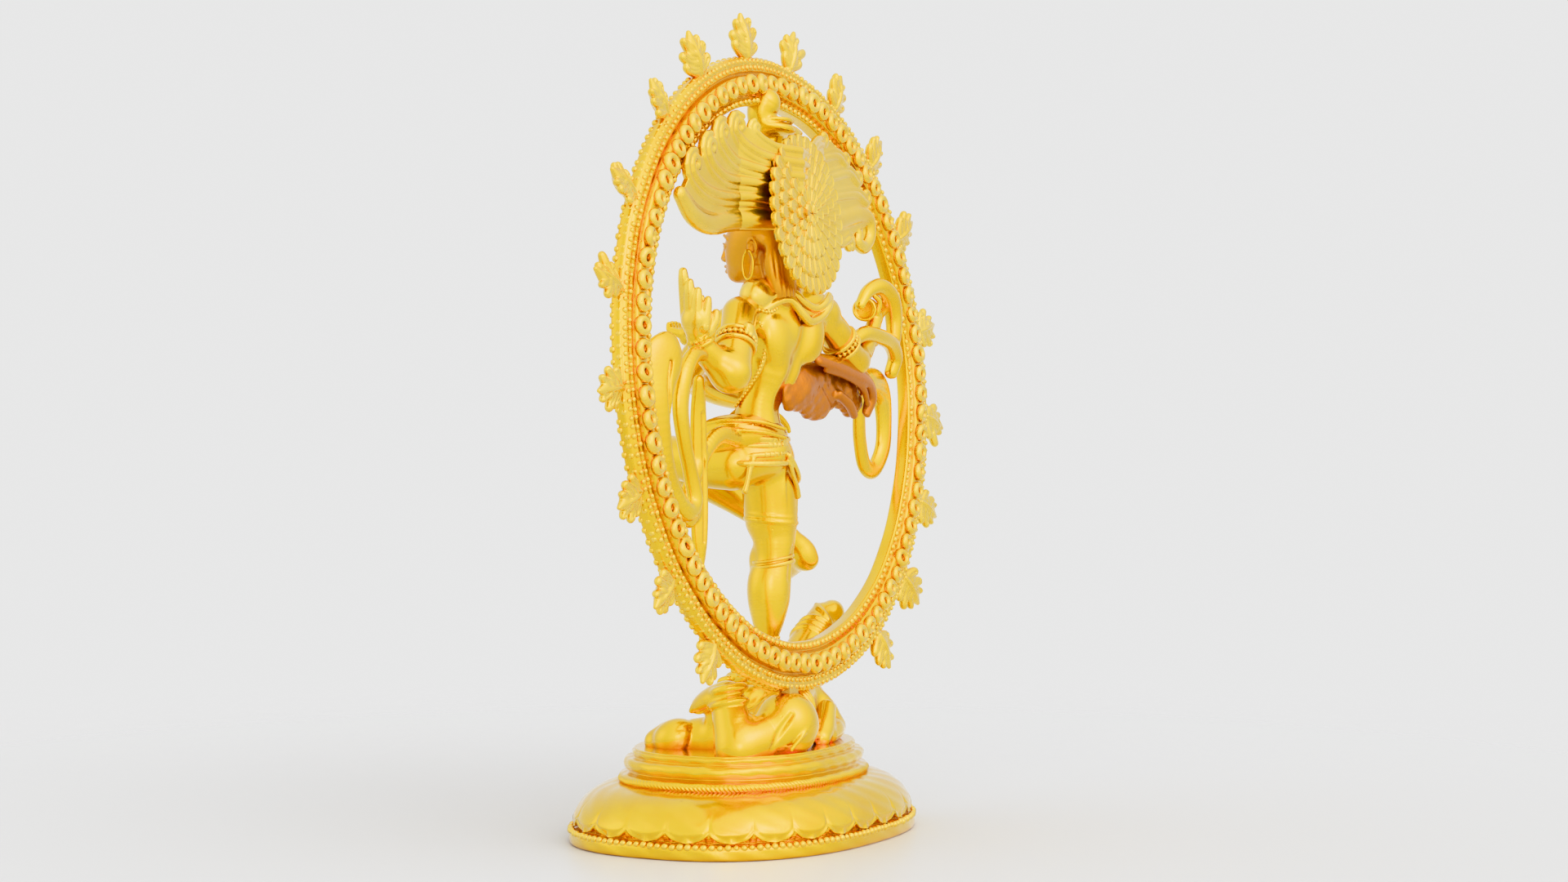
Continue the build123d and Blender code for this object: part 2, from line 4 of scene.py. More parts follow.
import bpy
import numpy as np
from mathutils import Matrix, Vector


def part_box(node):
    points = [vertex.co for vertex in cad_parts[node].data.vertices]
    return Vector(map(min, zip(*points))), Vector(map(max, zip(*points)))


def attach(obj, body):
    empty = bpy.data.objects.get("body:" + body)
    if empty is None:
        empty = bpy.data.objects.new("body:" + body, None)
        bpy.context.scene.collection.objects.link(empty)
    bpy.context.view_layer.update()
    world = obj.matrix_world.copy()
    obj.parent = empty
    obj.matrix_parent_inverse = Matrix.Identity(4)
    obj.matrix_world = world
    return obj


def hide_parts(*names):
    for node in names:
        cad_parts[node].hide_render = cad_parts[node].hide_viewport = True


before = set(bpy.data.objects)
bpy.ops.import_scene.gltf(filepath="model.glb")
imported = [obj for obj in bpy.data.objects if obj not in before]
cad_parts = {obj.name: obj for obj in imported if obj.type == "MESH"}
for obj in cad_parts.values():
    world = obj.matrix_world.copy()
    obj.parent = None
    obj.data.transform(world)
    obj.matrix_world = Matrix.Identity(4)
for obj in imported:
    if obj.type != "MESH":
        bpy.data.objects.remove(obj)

# A cast brass dancing figure in a ring of flames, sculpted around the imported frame.
# Shapes are worked out in millimetres and turned into metres when a mesh is made.
# The figure faces -Y, its own left is +X, and +Z is up.

MM = 0.001
SCULPT_STEP = 0.7  # grid size of the sculpted pieces
FINE_STEP = 0.45  # grid size of the pieces with small relief
FAR = 1000.0  # stands for "nowhere near a surface"
TINY = 1e-9  # keeps a division clear of zero
SEED = 11
rng = np.random.default_rng(SEED)

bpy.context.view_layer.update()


# ------------------------------------------------------------------ sculpting kit
STROKE_MARGIN = 3.0  # how far from a tube its distance is still worked out
BEAD_MARGIN = 2.0  # the same for a ball
BEAD_CURVE_STEPS = 12  # how finely a string of beads follows its curve
GRID_MARGIN = 3  # grid steps of empty room round a form
THIN_SHARE = 0.35  # damps the distance beside a flattened tube


class Form:
    """A solid shape: its box, the distance to its surface, and how softly it joins the rest."""

    def __init__(self, low, high, distance, blend=0.0, cut=False):
        self.low = np.array(low, float)
        self.high = np.array(high, float)
        self.distance = distance
        self.blend = blend
        self.cut = cut


def spread(axes):
    """A grid's three axes, shaped so that they combine into the whole grid."""
    x, y, z = axes
    return x[:, None, None], y[None, :, None], z[None, None, :]


def window(axes, low, high):
    """The index ranges of a box on a grid's axes."""
    found = []
    for axis, start, stop in zip(axes, low, high):
        first, last = np.searchsorted(axis, [start, stop])
        found.append(slice(first, last))
    return tuple(found)


def soft_min(a, b, k):
    """The smaller of two distances, rounded off where they are within k of each other."""
    if k <= 0:
        return np.minimum(a, b)
    h = np.clip(0.5 + 0.5 * (b - a) / k, 0, 1)
    return b + (a - b) * h - k * h * (1 - h)


def egg(centre, radii, turn=(0, 0, 0), blend=0.0, cut=False):
    """An ellipsoid, turned by degrees about X, Y and Z in that order."""
    centre = np.array(centre, float)
    radii = np.array(radii, float) * np.ones(3)
    axes_matrix = np.eye(3)
    for axis, degrees in enumerate(turn):
        angle = math.radians(degrees)
        i, j = [(1, 2), (2, 0), (0, 1)][axis]
        step = np.eye(3)
        step[i, i] = step[j, j] = math.cos(angle)
        step[i, j] = -math.sin(angle)
        step[j, i] = math.sin(angle)
        axes_matrix = step @ axes_matrix
    reach = np.sqrt(((axes_matrix * radii) ** 2).sum(axis=1))

    def distance(axes):
        x, y, z = spread(axes)
        x, y, z = x - centre[0], y - centre[1], z - centre[2]
        near = 0
        slope = 0
        for column, radius in zip(axes_matrix.T, radii):
            along = (x * column[0] + y * column[1] + z * column[2]) / radius
            near = near + along * along
            slope = slope + (along / radius) ** 2
        near = np.sqrt(near)
        return near * (near - 1) / np.sqrt(slope + TINY)

    return Form(centre - reach, centre + reach, distance, blend, cut)


def smooth_path(points, per_span=6):
    """Points of a smooth curve through the given rows, any number of columns each."""
    points = np.array(points, float)
    if len(points) < 3:
        return points
    padded = np.vstack([2 * points[0] - points[1], points, 2 * points[-1] - points[-2]])
    rows = []
    for i in range(len(points) - 1):
        a, b, c, d = padded[i : i + 4]
        for t in np.linspace(0, 1, per_span, endpoint=False):
            bend = (2 * a - 5 * b + 4 * c - d) * t**2
            twist = (3 * b - a - 3 * c + d) * t**3
            rows.append(0.5 * (2 * b + (c - a) * t + bend + twist))
    rows.append(points[-1])
    return np.array(rows)


def stroke(points, blend=0.0, flat=None, cut=False, per_span=6):
    """A tube through rows of (x, y, z, radius).

    With flat, a direction, the tube is a strap and rows are (x, y, z, radius, thickness).
    """
    rows = smooth_path(points, per_span)
    reach = rows[:, 3]
    low = (rows[:, :3] - reach[:, None]).min(axis=0)
    high = (rows[:, :3] + reach[:, None]).max(axis=0)
    flat_axis = None if flat is None else np.array(flat, float) / np.linalg.norm(flat)

    def distance(axes):
        result = np.full([len(axis) for axis in axes], FAR, np.float32)
        pad = blend + STROKE_MARGIN
        for first, last in pairwise(rows):
            grow = max(first[3], last[3]) + pad
            box_low = np.minimum(first[:3], last[:3]) - grow
            box_high = np.maximum(first[:3], last[:3]) + grow
            block = window(axes, box_low, box_high)
            x, y, z = spread([axis[part] for axis, part in zip(axes, block)])
            if 0 in np.broadcast_shapes(x.shape, y.shape, z.shape):
                continue
            bone = last[:3] - first[:3]
            length = max(bone @ bone, TINY)
            x, y, z = x - first[0], y - first[1], z - first[2]
            t = np.clip((x * bone[0] + y * bone[1] + z * bone[2]) / length, 0, 1)
            x, y, z = x - t * bone[0], y - t * bone[1], z - t * bone[2]
            radius = first[3] + t * (last[3] - first[3])
            away = x * x + y * y + z * z
            if flat_axis is None:
                near = np.sqrt(away) - radius
            else:
                thin = first[4] + t * (last[4] - first[4])
                across = x * flat_axis[0] + y * flat_axis[1] + z * flat_axis[2]
                ratio = radius / thin
                near = np.sqrt(away + across * across * (ratio * ratio - 1)) - radius
                near = near * np.where(near < 0, 1.0, np.clip(thin / radius + THIN_SHARE, 0, 1))
            result[block] = np.minimum(result[block], near)
        return result

    return Form(low, high, distance, blend, cut)


def beads_along(points, radius, pitch, blend=0.0):
    """Balls strung at an even pitch along a curve."""
    rows = smooth_path(points, BEAD_CURVE_STEPS)
    steps = np.linalg.norm(np.diff(rows[:, :3], axis=0), axis=1)
    run = np.concatenate([[0], np.cumsum(steps)])
    count = max(int(run[-1] / pitch), 1) + 1
    stops = np.linspace(0, run[-1], count)
    places = np.stack([np.interp(stops, run, rows[:, k]) for k in range(3)], axis=1)
    low = np.min(places, axis=0) - radius
    high = np.max(places, axis=0) + radius

    def distance(axes):
        result = np.full([len(axis) for axis in axes], FAR, np.float32)
        for place in places:
            reach = radius + BEAD_MARGIN
            block = window(axes, place - reach, place + reach)
            x, y, z = spread([axis[part] for axis, part in zip(axes, block)])
            away = (x - place[0]) ** 2 + (y - place[1]) ** 2 + (z - place[2]) ** 2
            near = np.sqrt(away) - radius
            result[block] = np.minimum(result[block], near)
        return result

    return Form(low, high, distance, blend)


def fill(forms, low, high, step):
    """Sample joined forms on a grid. Returns the grid's axes and the distances."""
    axes = [np.arange(a, b + step, step, dtype=np.float32) for a, b in zip(low, high)]
    value = np.full([len(axis) for axis in axes], FAR, np.float32)
    for form in forms:
        pad = form.blend + GRID_MARGIN * step
        block = window(axes, form.low - pad, form.high + pad)
        part_axes = [axis[part] for axis, part in zip(axes, block)]
        if min(len(axis) for axis in part_axes) == 0:
            continue
        near = form.distance(part_axes)
        part = value[block]
        if form.cut:
            value[block] = -soft_min(-part, near, form.blend)
        else:
            value[block] = soft_min(part, near, form.blend)
    return axes, value


CORNERS = [(i, j, k) for i in (0, 1) for j in (0, 1) for k in (0, 1)]


def axes_apart(a, b):
    """In how many axes two corners of a cell differ."""
    return sum(p != q for p, q in zip(CORNERS[a], CORNERS[b]))


EDGES = [(a, b) for a in range(8) for b in range(a + 1, 8) if axes_apart(a, b) == 1]
SAMPLE_LIMIT = 5  # distances beyond this do not matter to the surface


def skin(axes, value):
    """The surface of sampled distances as points and four-sided faces."""
    value[0], value[-1] = FAR, FAR
    value[:, 0], value[:, -1] = FAR, FAR
    value[:, :, 0], value[:, :, -1] = FAR, FAR
    inside = value < 0
    nx, ny, nz = value.shape
    total = np.zeros((nx - 1, ny - 1, nz - 1), np.uint8)
    for i, j, k in CORNERS:
        total += inside[i : nx - 1 + i, j : ny - 1 + j, k : nz - 1 + k]
    active = (total > 0) & (total < 8)
    cells = np.argwhere(active)
    x, y, z = cells.T
    sample = np.stack([value[x + i, y + j, z + k] for i, j, k in CORNERS], axis=1)
    sample = np.clip(sample, -SAMPLE_LIMIT, SAMPLE_LIMIT)
    place = np.zeros((len(cells), 3))
    hits = np.zeros((len(cells), 1))
    for a, b in EDGES:
        crossing = (sample[:, a] < 0) != (sample[:, b] < 0)
        fall = np.where(crossing, sample[:, a] - sample[:, b], 1)
        share = np.where(crossing, sample[:, a] / fall, 0)[:, None]
        start, stop = np.array(CORNERS[a], float), np.array(CORNERS[b], float)
        place += np.where(crossing[:, None], start + share * (stop - start), 0)
        hits += crossing[:, None]
    step = float(axes[0][1] - axes[0][0])
    origin = np.array([axis[0] for axis in axes], float)
    points = origin + (cells + place / hits) * step
    number = np.full(active.shape, -1, np.int32)
    number[active] = np.arange(len(cells))
    faces = []
    for axis in range(3):
        head = [slice(None)] * 3
        tail = [slice(None)] * 3
        head[axis] = slice(0, -1)
        tail[axis] = slice(1, None)
        change = inside[tuple(head)] != inside[tuple(tail)]
        spots = np.argwhere(change)
        u, v = (axis + 1) % 3, (axis + 2) % 3
        spots = spots[(spots[:, u] > 0) & (spots[:, v] > 0)]
        spots = spots[(spots[:, u] < value.shape[u] - 1) & (spots[:, v] < value.shape[v] - 1)]
        back_u, back_v = np.eye(3, dtype=int)[u], np.eye(3, dtype=int)[v]
        loop = [spots - back_u - back_v, spots - back_v, spots, spots - back_u]
        ids = np.stack([number[c[:, 0], c[:, 1], c[:, 2]] for c in loop], axis=1)
        starts_inside = inside[spots[:, 0], spots[:, 1], spots[:, 2]]
        ids[~starts_inside] = ids[~starts_inside][:, ::-1]
        faces.append(ids)
    return points, np.vstack(faces)


JOIN_BLEND = 3.0  # how softly a piece meets its neighbours
JOIN_OVERLAP = 0.8  # how far a piece runs on inside them
SMOOTHINGS = 2
PUSH_BACK = 1.04  # a little over one, so that smoothing does not shrink the shape


def relax(points, faces, rounds, amount=0.5):
    """Even out small steps by moving each point towards its neighbours' middle, then back."""
    edges = np.vstack([faces[:, [0, 1]], faces[:, [1, 2]], faces[:, [2, 3]], faces[:, [3, 0]]])
    for _ in range(rounds):
        for share in (amount, -amount * PUSH_BACK):
            total = np.zeros_like(points)
            count = np.bincount(edges[:, 0], minlength=len(points))[:, None]
            for axis in range(3):
                total[:, axis] = np.bincount(edges[:, 0], points[edges[:, 1], axis], minlength=len(points))
            points = points + share * (total / np.maximum(count, 1) - points)
    return points


def make_mesh(name, points, faces, material, body, slot, nodes=()):
    """A smooth-shaded object from points in millimetres, riding on a body of the frame."""
    mesh = bpy.data.meshes.new(name)
    mesh.from_pydata((np.asarray(points) * MM).tolist(), [], [list(face) for face in faces])
    mesh.polygons.foreach_set("use_smooth", np.ones(len(mesh.polygons), bool))
    mesh.materials.append(material)
    mesh.validate()
    piece = bpy.data.objects.new(name, mesh)
    bpy.context.scene.collection.objects.link(piece)
    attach(piece, body)
    if nodes:
        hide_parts(*nodes)


def sculpt(forms, neighbours, step):
    """The skin of a set of forms, blended into its neighbours but ending where they begin."""
    solid = [form for form in forms if not form.cut]
    low = np.min([form.low for form in solid], axis=0) - GRID_MARGIN * step
    high = np.max([form.high for form in solid], axis=0) + GRID_MARGIN * step
    axes, own = fill(forms, low, high, step)
    if neighbours:
        other = fill(neighbours, low, high, step)[1]
        own = np.maximum(soft_min(own, other, JOIN_BLEND), own - other - JOIN_OVERLAP)
    points, faces = skin(axes, own)
    return relax(points, faces, SMOOTHINGS), faces


def belt(low, high, flip=False):
    """Four-sided faces between two closed rows of point numbers."""
    corners = [low, np.roll(low, -1), np.roll(high, -1), high]
    if flip:
        corners = [corners[0], *reversed(corners[1:])]
    return np.stack(corners, axis=1)


def merge(parts):
    """Several (points, faces) sets as one."""
    points, faces, start = [], [], 0
    for part_points, part_faces in parts:
        points.append(part_points)
        faces.extend([tuple(index + start for index in face) for face in part_faces])
        start += len(part_points)
    return np.vstack(points), faces


# ------------------------------------------------------------------ brass
METALLIC = 1.0
COAT = 1.0
COAT_ROUGHNESS = 0.12
# Noise sizes, and where each mask starts and is full. Lengths in this section are in metres.
CLOUD_SCALE, WEAR_SCALE, SKIN_SCALE, PIT_SCALE, PATCH_SCALE = 28, 160, 420, 170, 55
WARM_SHARES = (0.97, 0.86, 0.45)  # colour of the warmer clouds, as shares of the tone
HOLLOW_SHADE_SHARES = (0.90, 0.62, 0.35)  # colour of the painted shade in the hollows, as shares of the tone
CLOUD_EDGES, PIT_EDGES, PATCH_EDGES = (0.3, 0.75), (0.03, 0.11), (0.56, 0.62)
SMOOTHEST, ROUGHEST = 0.75, 1.3  # bounds of the roughness, as shares of the usual one
# Painted shade in the hollows: where it starts and is full, how far it looks for nearby surfaces, and its
# samples.
HOLLOW_EDGES = (0.25, 0.8)
HOLLOW_REACH = 0.006
HOLLOW_SAMPLES = 6
SKIN_DEPTH = 0.0006
PIT_DEPTH = 0.0007
BLACK, WHITE = (0.0, 0.0, 0.0), (1.0, 1.0, 1.0)


def put(links, socket, value):
    """Join a node's output to a socket, or set the socket to a number or a colour."""
    if isinstance(value, tuple):
        socket.default_value = (*value, 1.0)
    elif isinstance(value, (int, float)):
        socket.default_value = value
    else:
        links.new(value, socket)


def brass(name, tone=(0.96, 0.685, 0.062), roughness=0.21, grain=0.12, pits=0.35):
    """Polished cast metal with a fine cast skin and small pits, and painted shade, darker and warmer, in
    the hollows.
    """
    material = bpy.data.materials.new(name)
    material.use_nodes = True
    nodes, links = material.node_tree.nodes, material.node_tree.links
    shader = nodes["Principled BSDF"]
    place = nodes.new("ShaderNodeTexCoord").outputs["Object"]

    def noise(scale, detail, rough=0.55):
        node = nodes.new("ShaderNodeTexNoise")
        node.inputs["Scale"].default_value = scale
        node.inputs["Detail"].default_value = detail
        node.inputs["Roughness"].default_value = rough
        links.new(place, node.inputs["Vector"])
        return node.outputs["Fac"]

    def ramp(source, start, stop, first, last):
        node = nodes.new("ShaderNodeValToRGB")
        links.new(source, node.inputs["Fac"])
        ends = zip(node.color_ramp.elements, (start, stop), (first, last))
        for element, position, color in ends:
            element.position = position
            element.color = (*color, 1.0)
        return node.outputs["Color"]

    def mix(kind, factor, a, b):
        node = nodes.new("ShaderNodeMix")
        node.data_type = "RGBA"
        node.blend_type = kind
        for label, value in (("Factor", factor), ("A", a), ("B", b)):
            socket = [found for found in node.inputs if found.name == label and found.enabled][0]
            put(links, socket, value)
        return [found for found in node.outputs if found.enabled][0]

    def bump_map(height, strength, depth):
        node = nodes.new("ShaderNodeBump")
        node.inputs["Strength"].default_value = strength
        node.inputs["Distance"].default_value = depth
        links.new(height, node.inputs["Height"])
        return node

    def tinted(shares):
        return tuple(channel * share for channel, share in zip(tone, shares))

    cloud = ramp(noise(CLOUD_SCALE, 4), *CLOUD_EDGES, BLACK, WHITE)
    skin_color = mix("MIX", cloud, tinted(WARM_SHARES), tone)
    # Painted shade: the colour turns darker and warmer where ambient occlusion finds nearby surfaces.
    nearby = nodes.new("ShaderNodeAmbientOcclusion")
    nearby.samples = HOLLOW_SAMPLES
    nearby.inputs["Distance"].default_value = HOLLOW_REACH
    hollow = ramp(nearby.outputs["AO"], *HOLLOW_EDGES, WHITE, BLACK)
    wear = nodes.new("ShaderNodeMapRange")
    put(links, wear.inputs["Value"], noise(WEAR_SCALE, 3))
    put(links, wear.inputs["To Min"], roughness * SMOOTHEST)
    put(links, wear.inputs["To Max"], roughness * ROUGHEST)

    cells = nodes.new("ShaderNodeTexVoronoi")
    cells.inputs["Scale"].default_value = PIT_SCALE
    links.new(place, cells.inputs["Vector"])
    pit = ramp(cells.outputs["Distance"], *PIT_EDGES, BLACK, WHITE)
    patches = ramp(noise(PATCH_SCALE, 2), *PATCH_EDGES, WHITE, BLACK)
    skin_bumps = bump_map(noise(SKIN_SCALE, 5, 0.6), grain, SKIN_DEPTH)
    dents = bump_map(mix("LIGHTEN", 1.0, pit, patches), pits, PIT_DEPTH)
    links.new(skin_bumps.outputs["Normal"], dents.inputs["Normal"])

    put(links, shader.inputs["Metallic"], METALLIC)
    # The base colour goes over to the painted shade colour in the hollows.
    put(links, shader.inputs["Base Color"], mix("MIX", hollow, skin_color, tinted(HOLLOW_SHADE_SHARES)))
    put(links, shader.inputs["Roughness"], wear.outputs["Result"])
    put(links, shader.inputs["Coat Weight"], COAT)
    put(links, shader.inputs["Coat Roughness"], COAT_ROUGHNESS)
    put(links, shader.inputs["Normal"], dents.outputs["Normal"])
    return material


FIGURE_BRASS = brass("figure_brass")
# A paler, whiter copy of the brass for the small relief: a painted highlight.
RELIEF_HIGHLIGHT_BRASS = brass("relief_highlight_brass", tone=(0.97, 0.735, 0.145), roughness=0.24, grain=0.15)
# A darker, warmer copy of the brass for the head: painted shade. It is also a little rougher.
PAINTED_SHADE_BRASS = brass("painted_shade_brass", tone=(0.84, 0.43, 0.03), roughness=0.34, grain=0.4, pits=0.6)
# A still darker, browner copy for the drape: painted shade. Its greater roughness, grain and pits are its
# own.
DRAPE_SHADE_BRASS = brass("drape_shade_brass", tone=(0.68, 0.26, 0.02), roughness=0.5, grain=0.7, pits=0.9)
SHEET_BRASS = brass("sheet_brass", tone=(0.85, 0.62, 0.15), roughness=0.38, grain=0.1, pits=0.1)
STEEL = brass("zinc_steel", tone=(0.62, 0.63, 0.65), roughness=0.42, grain=0.15, pits=0.1)


# ------------------------------------------------------------------ pedestal
BASE_HALF_WIDTH = 112.6
BASE_HALF_DEPTH = 84.7
BASE_EXPONENT = 2.4  # 2 is an ellipse, more is squarer
OUTLINE_SAMPLES = 4001
NORMAL_REACH = 3  # points to either side that an outline's normal is taken from
PETALS = 26
PETAL_TOP = 31.6
ROPE_TURNS, ROPE_SLANT, ROPE_HEIGHT = 190, 0.32, 34.2
WALL_INSIDE = (0.968, 1.2)  # share of the outline and height where the hollow starts
HOLLOW_ROOF = (0.60, 30.0)  # the same for the hollow's flat top

# Share of the outline, then height, from the foot's rim up to the middle of the top face.
PEDESTAL_PROFILE = [
    (0.968, 0.5), (0.985, 0.0), (0.996, 0.4), (1.0, 1.6), (1.0, 5.2), (0.996, 6.6), (0.986, 7.6),
    (0.968, 8.0),
    (0.952, 8.4), (0.951, 10.0), (0.962, 12.0), (0.966, 14.5), (0.958, 17.5), (0.940, 20.8), (0.910, 24.2),
    (0.868, 27.4), (0.815, 30.0), (0.755, 31.6), (0.718, 32.1), (0.710, 32.5), (0.716, 33.2), (0.718, 34.8),
    (0.712, 36.2), (0.700, 37.0), (0.682, 37.6), (0.672, 38.4), (0.676, 39.2), (0.688, 40.2),
    (0.6945, 41.8),
    (0.6945, 43.2), (0.688, 44.6), (0.674, 45.5), (0.650, 45.8), (0.643, 46.2), (0.644, 47.0),
    (0.646, 48.6),
    (0.640, 49.4), (0.634, 49.6), (0.634, 50.2), (0.628, 50.5), (0.60, 50.5), (0.45, 50.5), (0.2, 50.5),
    (0.02, 50.5),
]


def base_outline(samples):
    """Evenly spaced points round the pedestal's outline at full scale, and their outward normals."""
    angle = np.linspace(0, 2 * np.pi, OUTLINE_SAMPLES)
    power = 2 / BASE_EXPONENT
    x = BASE_HALF_WIDTH * np.sign(np.cos(angle)) * np.abs(np.cos(angle)) ** power
    y = BASE_HALF_DEPTH * np.sign(np.sin(angle)) * np.abs(np.sin(angle)) ** power
    run = np.concatenate([[0], np.cumsum(np.hypot(np.diff(x), np.diff(y)))])
    places = np.arange(samples) / samples * run[-1]
    points = np.stack([np.interp(places, run, x), np.interp(places, run, y)], axis=1)
    ahead = np.roll(points, -NORMAL_REACH, axis=0) - np.roll(points, NORMAL_REACH, axis=0)
    normal = np.stack([ahead[:, 1], -ahead[:, 0]], axis=1)
    return points, normal / np.linalg.norm(normal, axis=1)[:, None]


def bump(value, centre, width):
    """A smooth bump of height 1."""
    return np.exp(-(((value - centre) / width) ** 2))


def ramp_up(value, start, stop):
    """A smooth step from 0 at start to 1 at stop."""
    t = np.clip((value - start) / (stop - start), 0, 1)
    return t * t * (3 - 2 * t)


def petal_relief(u, z):
    """How far the lotus petals stand out. u runs -0.5 to 0.5 across a petal, z is the height."""
    side = np.abs(u) * 2
    edge = 9.2 + 4.6 * side**2.6
    on_petal = ramp_up(z, edge - 0.35, edge + 0.35)
    fade = 1 - ramp_up(z, 13.0, 22.0)
    swell = 0.9 * np.sqrt(np.clip(1 - side**3, 0, 1)) * fade
    crease = -0.35 * bump(side, 1.0, 0.09) * (1 - ramp_up(z, 12.0, 27.0))
    rim = 1.1 * bump(z, edge + 0.7, 1.1)
    inner_line = 0.3 * bump(z, edge + 4.4 - 0.8 * side, 0.75) * (1 - ramp_up(side, 0.72, 0.9))
    tip = 1.3 * bump(u, 0, 0.09) * bump(z, 10.4, 1.6)
    back_tip = 1.7 * (1 - ramp_up(np.abs(1 - side), 0.10, 0.22)) * ramp_up(z, 8.6, 10.4)
    return on_petal * (swell + crease + rim + inner_line + tip) + (1 - on_petal) * (back_tip - 1.2)


def pedestal_relief(turn, height):
    """Petals, a twisted rope above them and the casting's unevenness, at each height and turn."""
    u = (turn * PETALS + 0.5) % 1 - 0.5
    z = height[:, None] + 0 * u[None, :]
    relief = petal_relief(u[None, :], z) * ((z > 8.5) & (z < PETAL_TOP))
    rope = turn[None, :] * ROPE_TURNS + z * ROPE_SLANT
    relief += 0.8 * np.abs(np.sin(np.pi * rope)) * bump(z, ROPE_HEIGHT, 1.6)
    uneven = 0.25 * np.sin(turn * 2 * np.pi * 5 + 1.3)[None, :] * bump(z, 42, 3)
    relief += uneven + 0.12 * np.sin(turn[None, :] * 2 * np.pi * 31 + z * 0.7)
    flat = (height > 50.3) | (height < 0.6)
    relief[flat] = 0
    return z, relief


def build_pedestal():
    """A hollow lotus foot: the carved outside, the top face, and the plain inside."""
    around = 2600
    outline, normal = base_outline(around)
    profile = smooth_path(PEDESTAL_PROFILE, 4)
    scale, height = profile[:, 0], profile[:, 1]
    run = np.gradient(height), np.gradient(scale) * BASE_HALF_DEPTH
    length = np.hypot(*run) + TINY
    out_share = np.clip(run[0] / length, -1, 1)
    up_share = -run[1] / length
    z, relief = pedestal_relief((np.arange(around) + 0.5) / around, height)
    plain = scale[:, None, None] * outline[None, :, :]
    x = plain[:, :, 0] + relief * out_share[:, None] * normal[None, :, 0]
    y = plain[:, :, 1] + relief * out_share[:, None] * normal[None, :, 1]
    z = z + relief * up_share[:, None]
    points = np.stack([x, y, z], axis=-1).reshape(-1, 3)
    ring = np.arange(around)
    starts = np.arange(len(height)) * around
    faces = np.vstack([belt(a + ring, b + ring) for a, b in pairwise(starts)]).tolist()
    faces.append((starts[-1] + ring).tolist())
    mid, top = len(points) + ring, len(points) + around + ring
    for share, level in (WALL_INSIDE, HOLLOW_ROOF):
        points = np.vstack([points, np.column_stack([share * outline, np.full(around, level)])])
    faces += belt(ring, mid, flip=True).tolist()
    faces += belt(mid, top, flip=True).tolist()
    faces.append(top[::-1].tolist())
    return points, faces


def ball(radius, squash=1.0, rings=7, sides=12):
    """A small closed bead, flattened along its own z."""
    points = [(0, 0, -radius * squash)]
    for i in range(1, rings):
        tilt = math.pi * i / rings
        for k in range(sides):
            turn = 2 * math.pi * k / sides
            out = radius * math.sin(tilt)
            points.append((out * math.cos(turn), out * math.sin(turn), -radius * squash * math.cos(tilt)))
    points.append((0, 0, radius * squash))
    faces = [(0, 1 + (k + 1) % sides, 1 + k) for k in range(sides)]
    for i in range(rings - 2):
        for k in range(sides):
            a, b = 1 + i * sides + k, 1 + i * sides + (k + 1) % sides
            faces.append((a, b, b + sides, a + sides))
    last, top = 1 + (rings - 2) * sides, len(points) - 1
    faces += [(last + k, last + (k + 1) % sides, top) for k in range(sides)]
    return np.array(points), faces


def lathe(profile, sides=28):
    """A closed turned shape about z, from (radius, height) points that start and end at the same place."""
    radius, height = np.array(profile, float).T
    turns = 2 * np.pi * np.arange(sides) / sides
    sections = [np.outer(radius, np.cos(turns)), np.outer(radius, np.sin(turns)), np.outer(height,
                                                                                           np.ones(sides))]
    starts = np.arange(len(profile)) * sides
    ring = np.arange(sides)
    faces = np.vstack([belt(a + ring, b + ring) for a, b in zip(starts, np.roll(starts, -1))])
    return np.stack(sections, axis=-1).reshape(-1, 3), faces.tolist()


def frame_axes(z_axis, x_hint):
    """Axes with z along z_axis and x as near to x_hint as can be."""
    z_axis = np.array(z_axis, float) / np.linalg.norm(z_axis)
    y_axis = np.cross(z_axis, x_hint)
    y_axis = y_axis / np.linalg.norm(y_axis)
    return np.stack([np.cross(y_axis, z_axis), y_axis, z_axis], axis=1)


def scattered(shape, places):
    """Copies of one shape. Each place is (position, 3x3 axes)."""
    base_points, base_faces = shape
    return merge([(base_points @ axes.T + position, base_faces) for position, axes in places])


EDGE_BEADS = 148
EDGE_BEAD_RADIUS = 2.05
EDGE_BEAD_HEIGHT = 7.2
EDGE_BEAD_INSET = 0.988  # share of the outline that the beads sit at


def rim_beads():
    """The row of beads round the pedestal's foot, slightly uneven like the casting's."""
    outline, normal = base_outline(EDGE_BEADS)
    places = []
    for (x, y), (nx, ny) in zip(outline, normal):
        size = 1.0 + 0.08 * rng.standard_normal()
        axes = frame_axes((0, 0, 1), (nx, ny, 0)) * size
        height = EDGE_BEAD_HEIGHT + 0.15 * rng.standard_normal()
        places.append((np.array([x * EDGE_BEAD_INSET, y * EDGE_BEAD_INSET, height]), axes))
    return scattered(ball(EDGE_BEAD_RADIUS, 0.9), places)


# ------------------------------------------------------------------ aureole
RING_LEAN = math.radians(4.84)
RING_BACK = np.array([0, math.cos(RING_LEAN), math.sin(RING_LEAN)])
RING_UP = np.array([0, -math.sin(RING_LEAN), math.cos(RING_LEAN)])
RING_OUTER = 176.5
RING_SHIFT = 0.5  # how far the band's own plane lies behind the middle of its box
RING_WAVES = ((0.35, 3, 0.6), (0.25, 7, 0.0), (0.12, 23, 2.0))  # height, waves round the ring, phase
ring_low, ring_high = (np.array(corner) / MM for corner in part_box("aureole_ring"))
RING_CENTRE = 0.5 * (ring_low + ring_high) + RING_SHIFT * RING_BACK

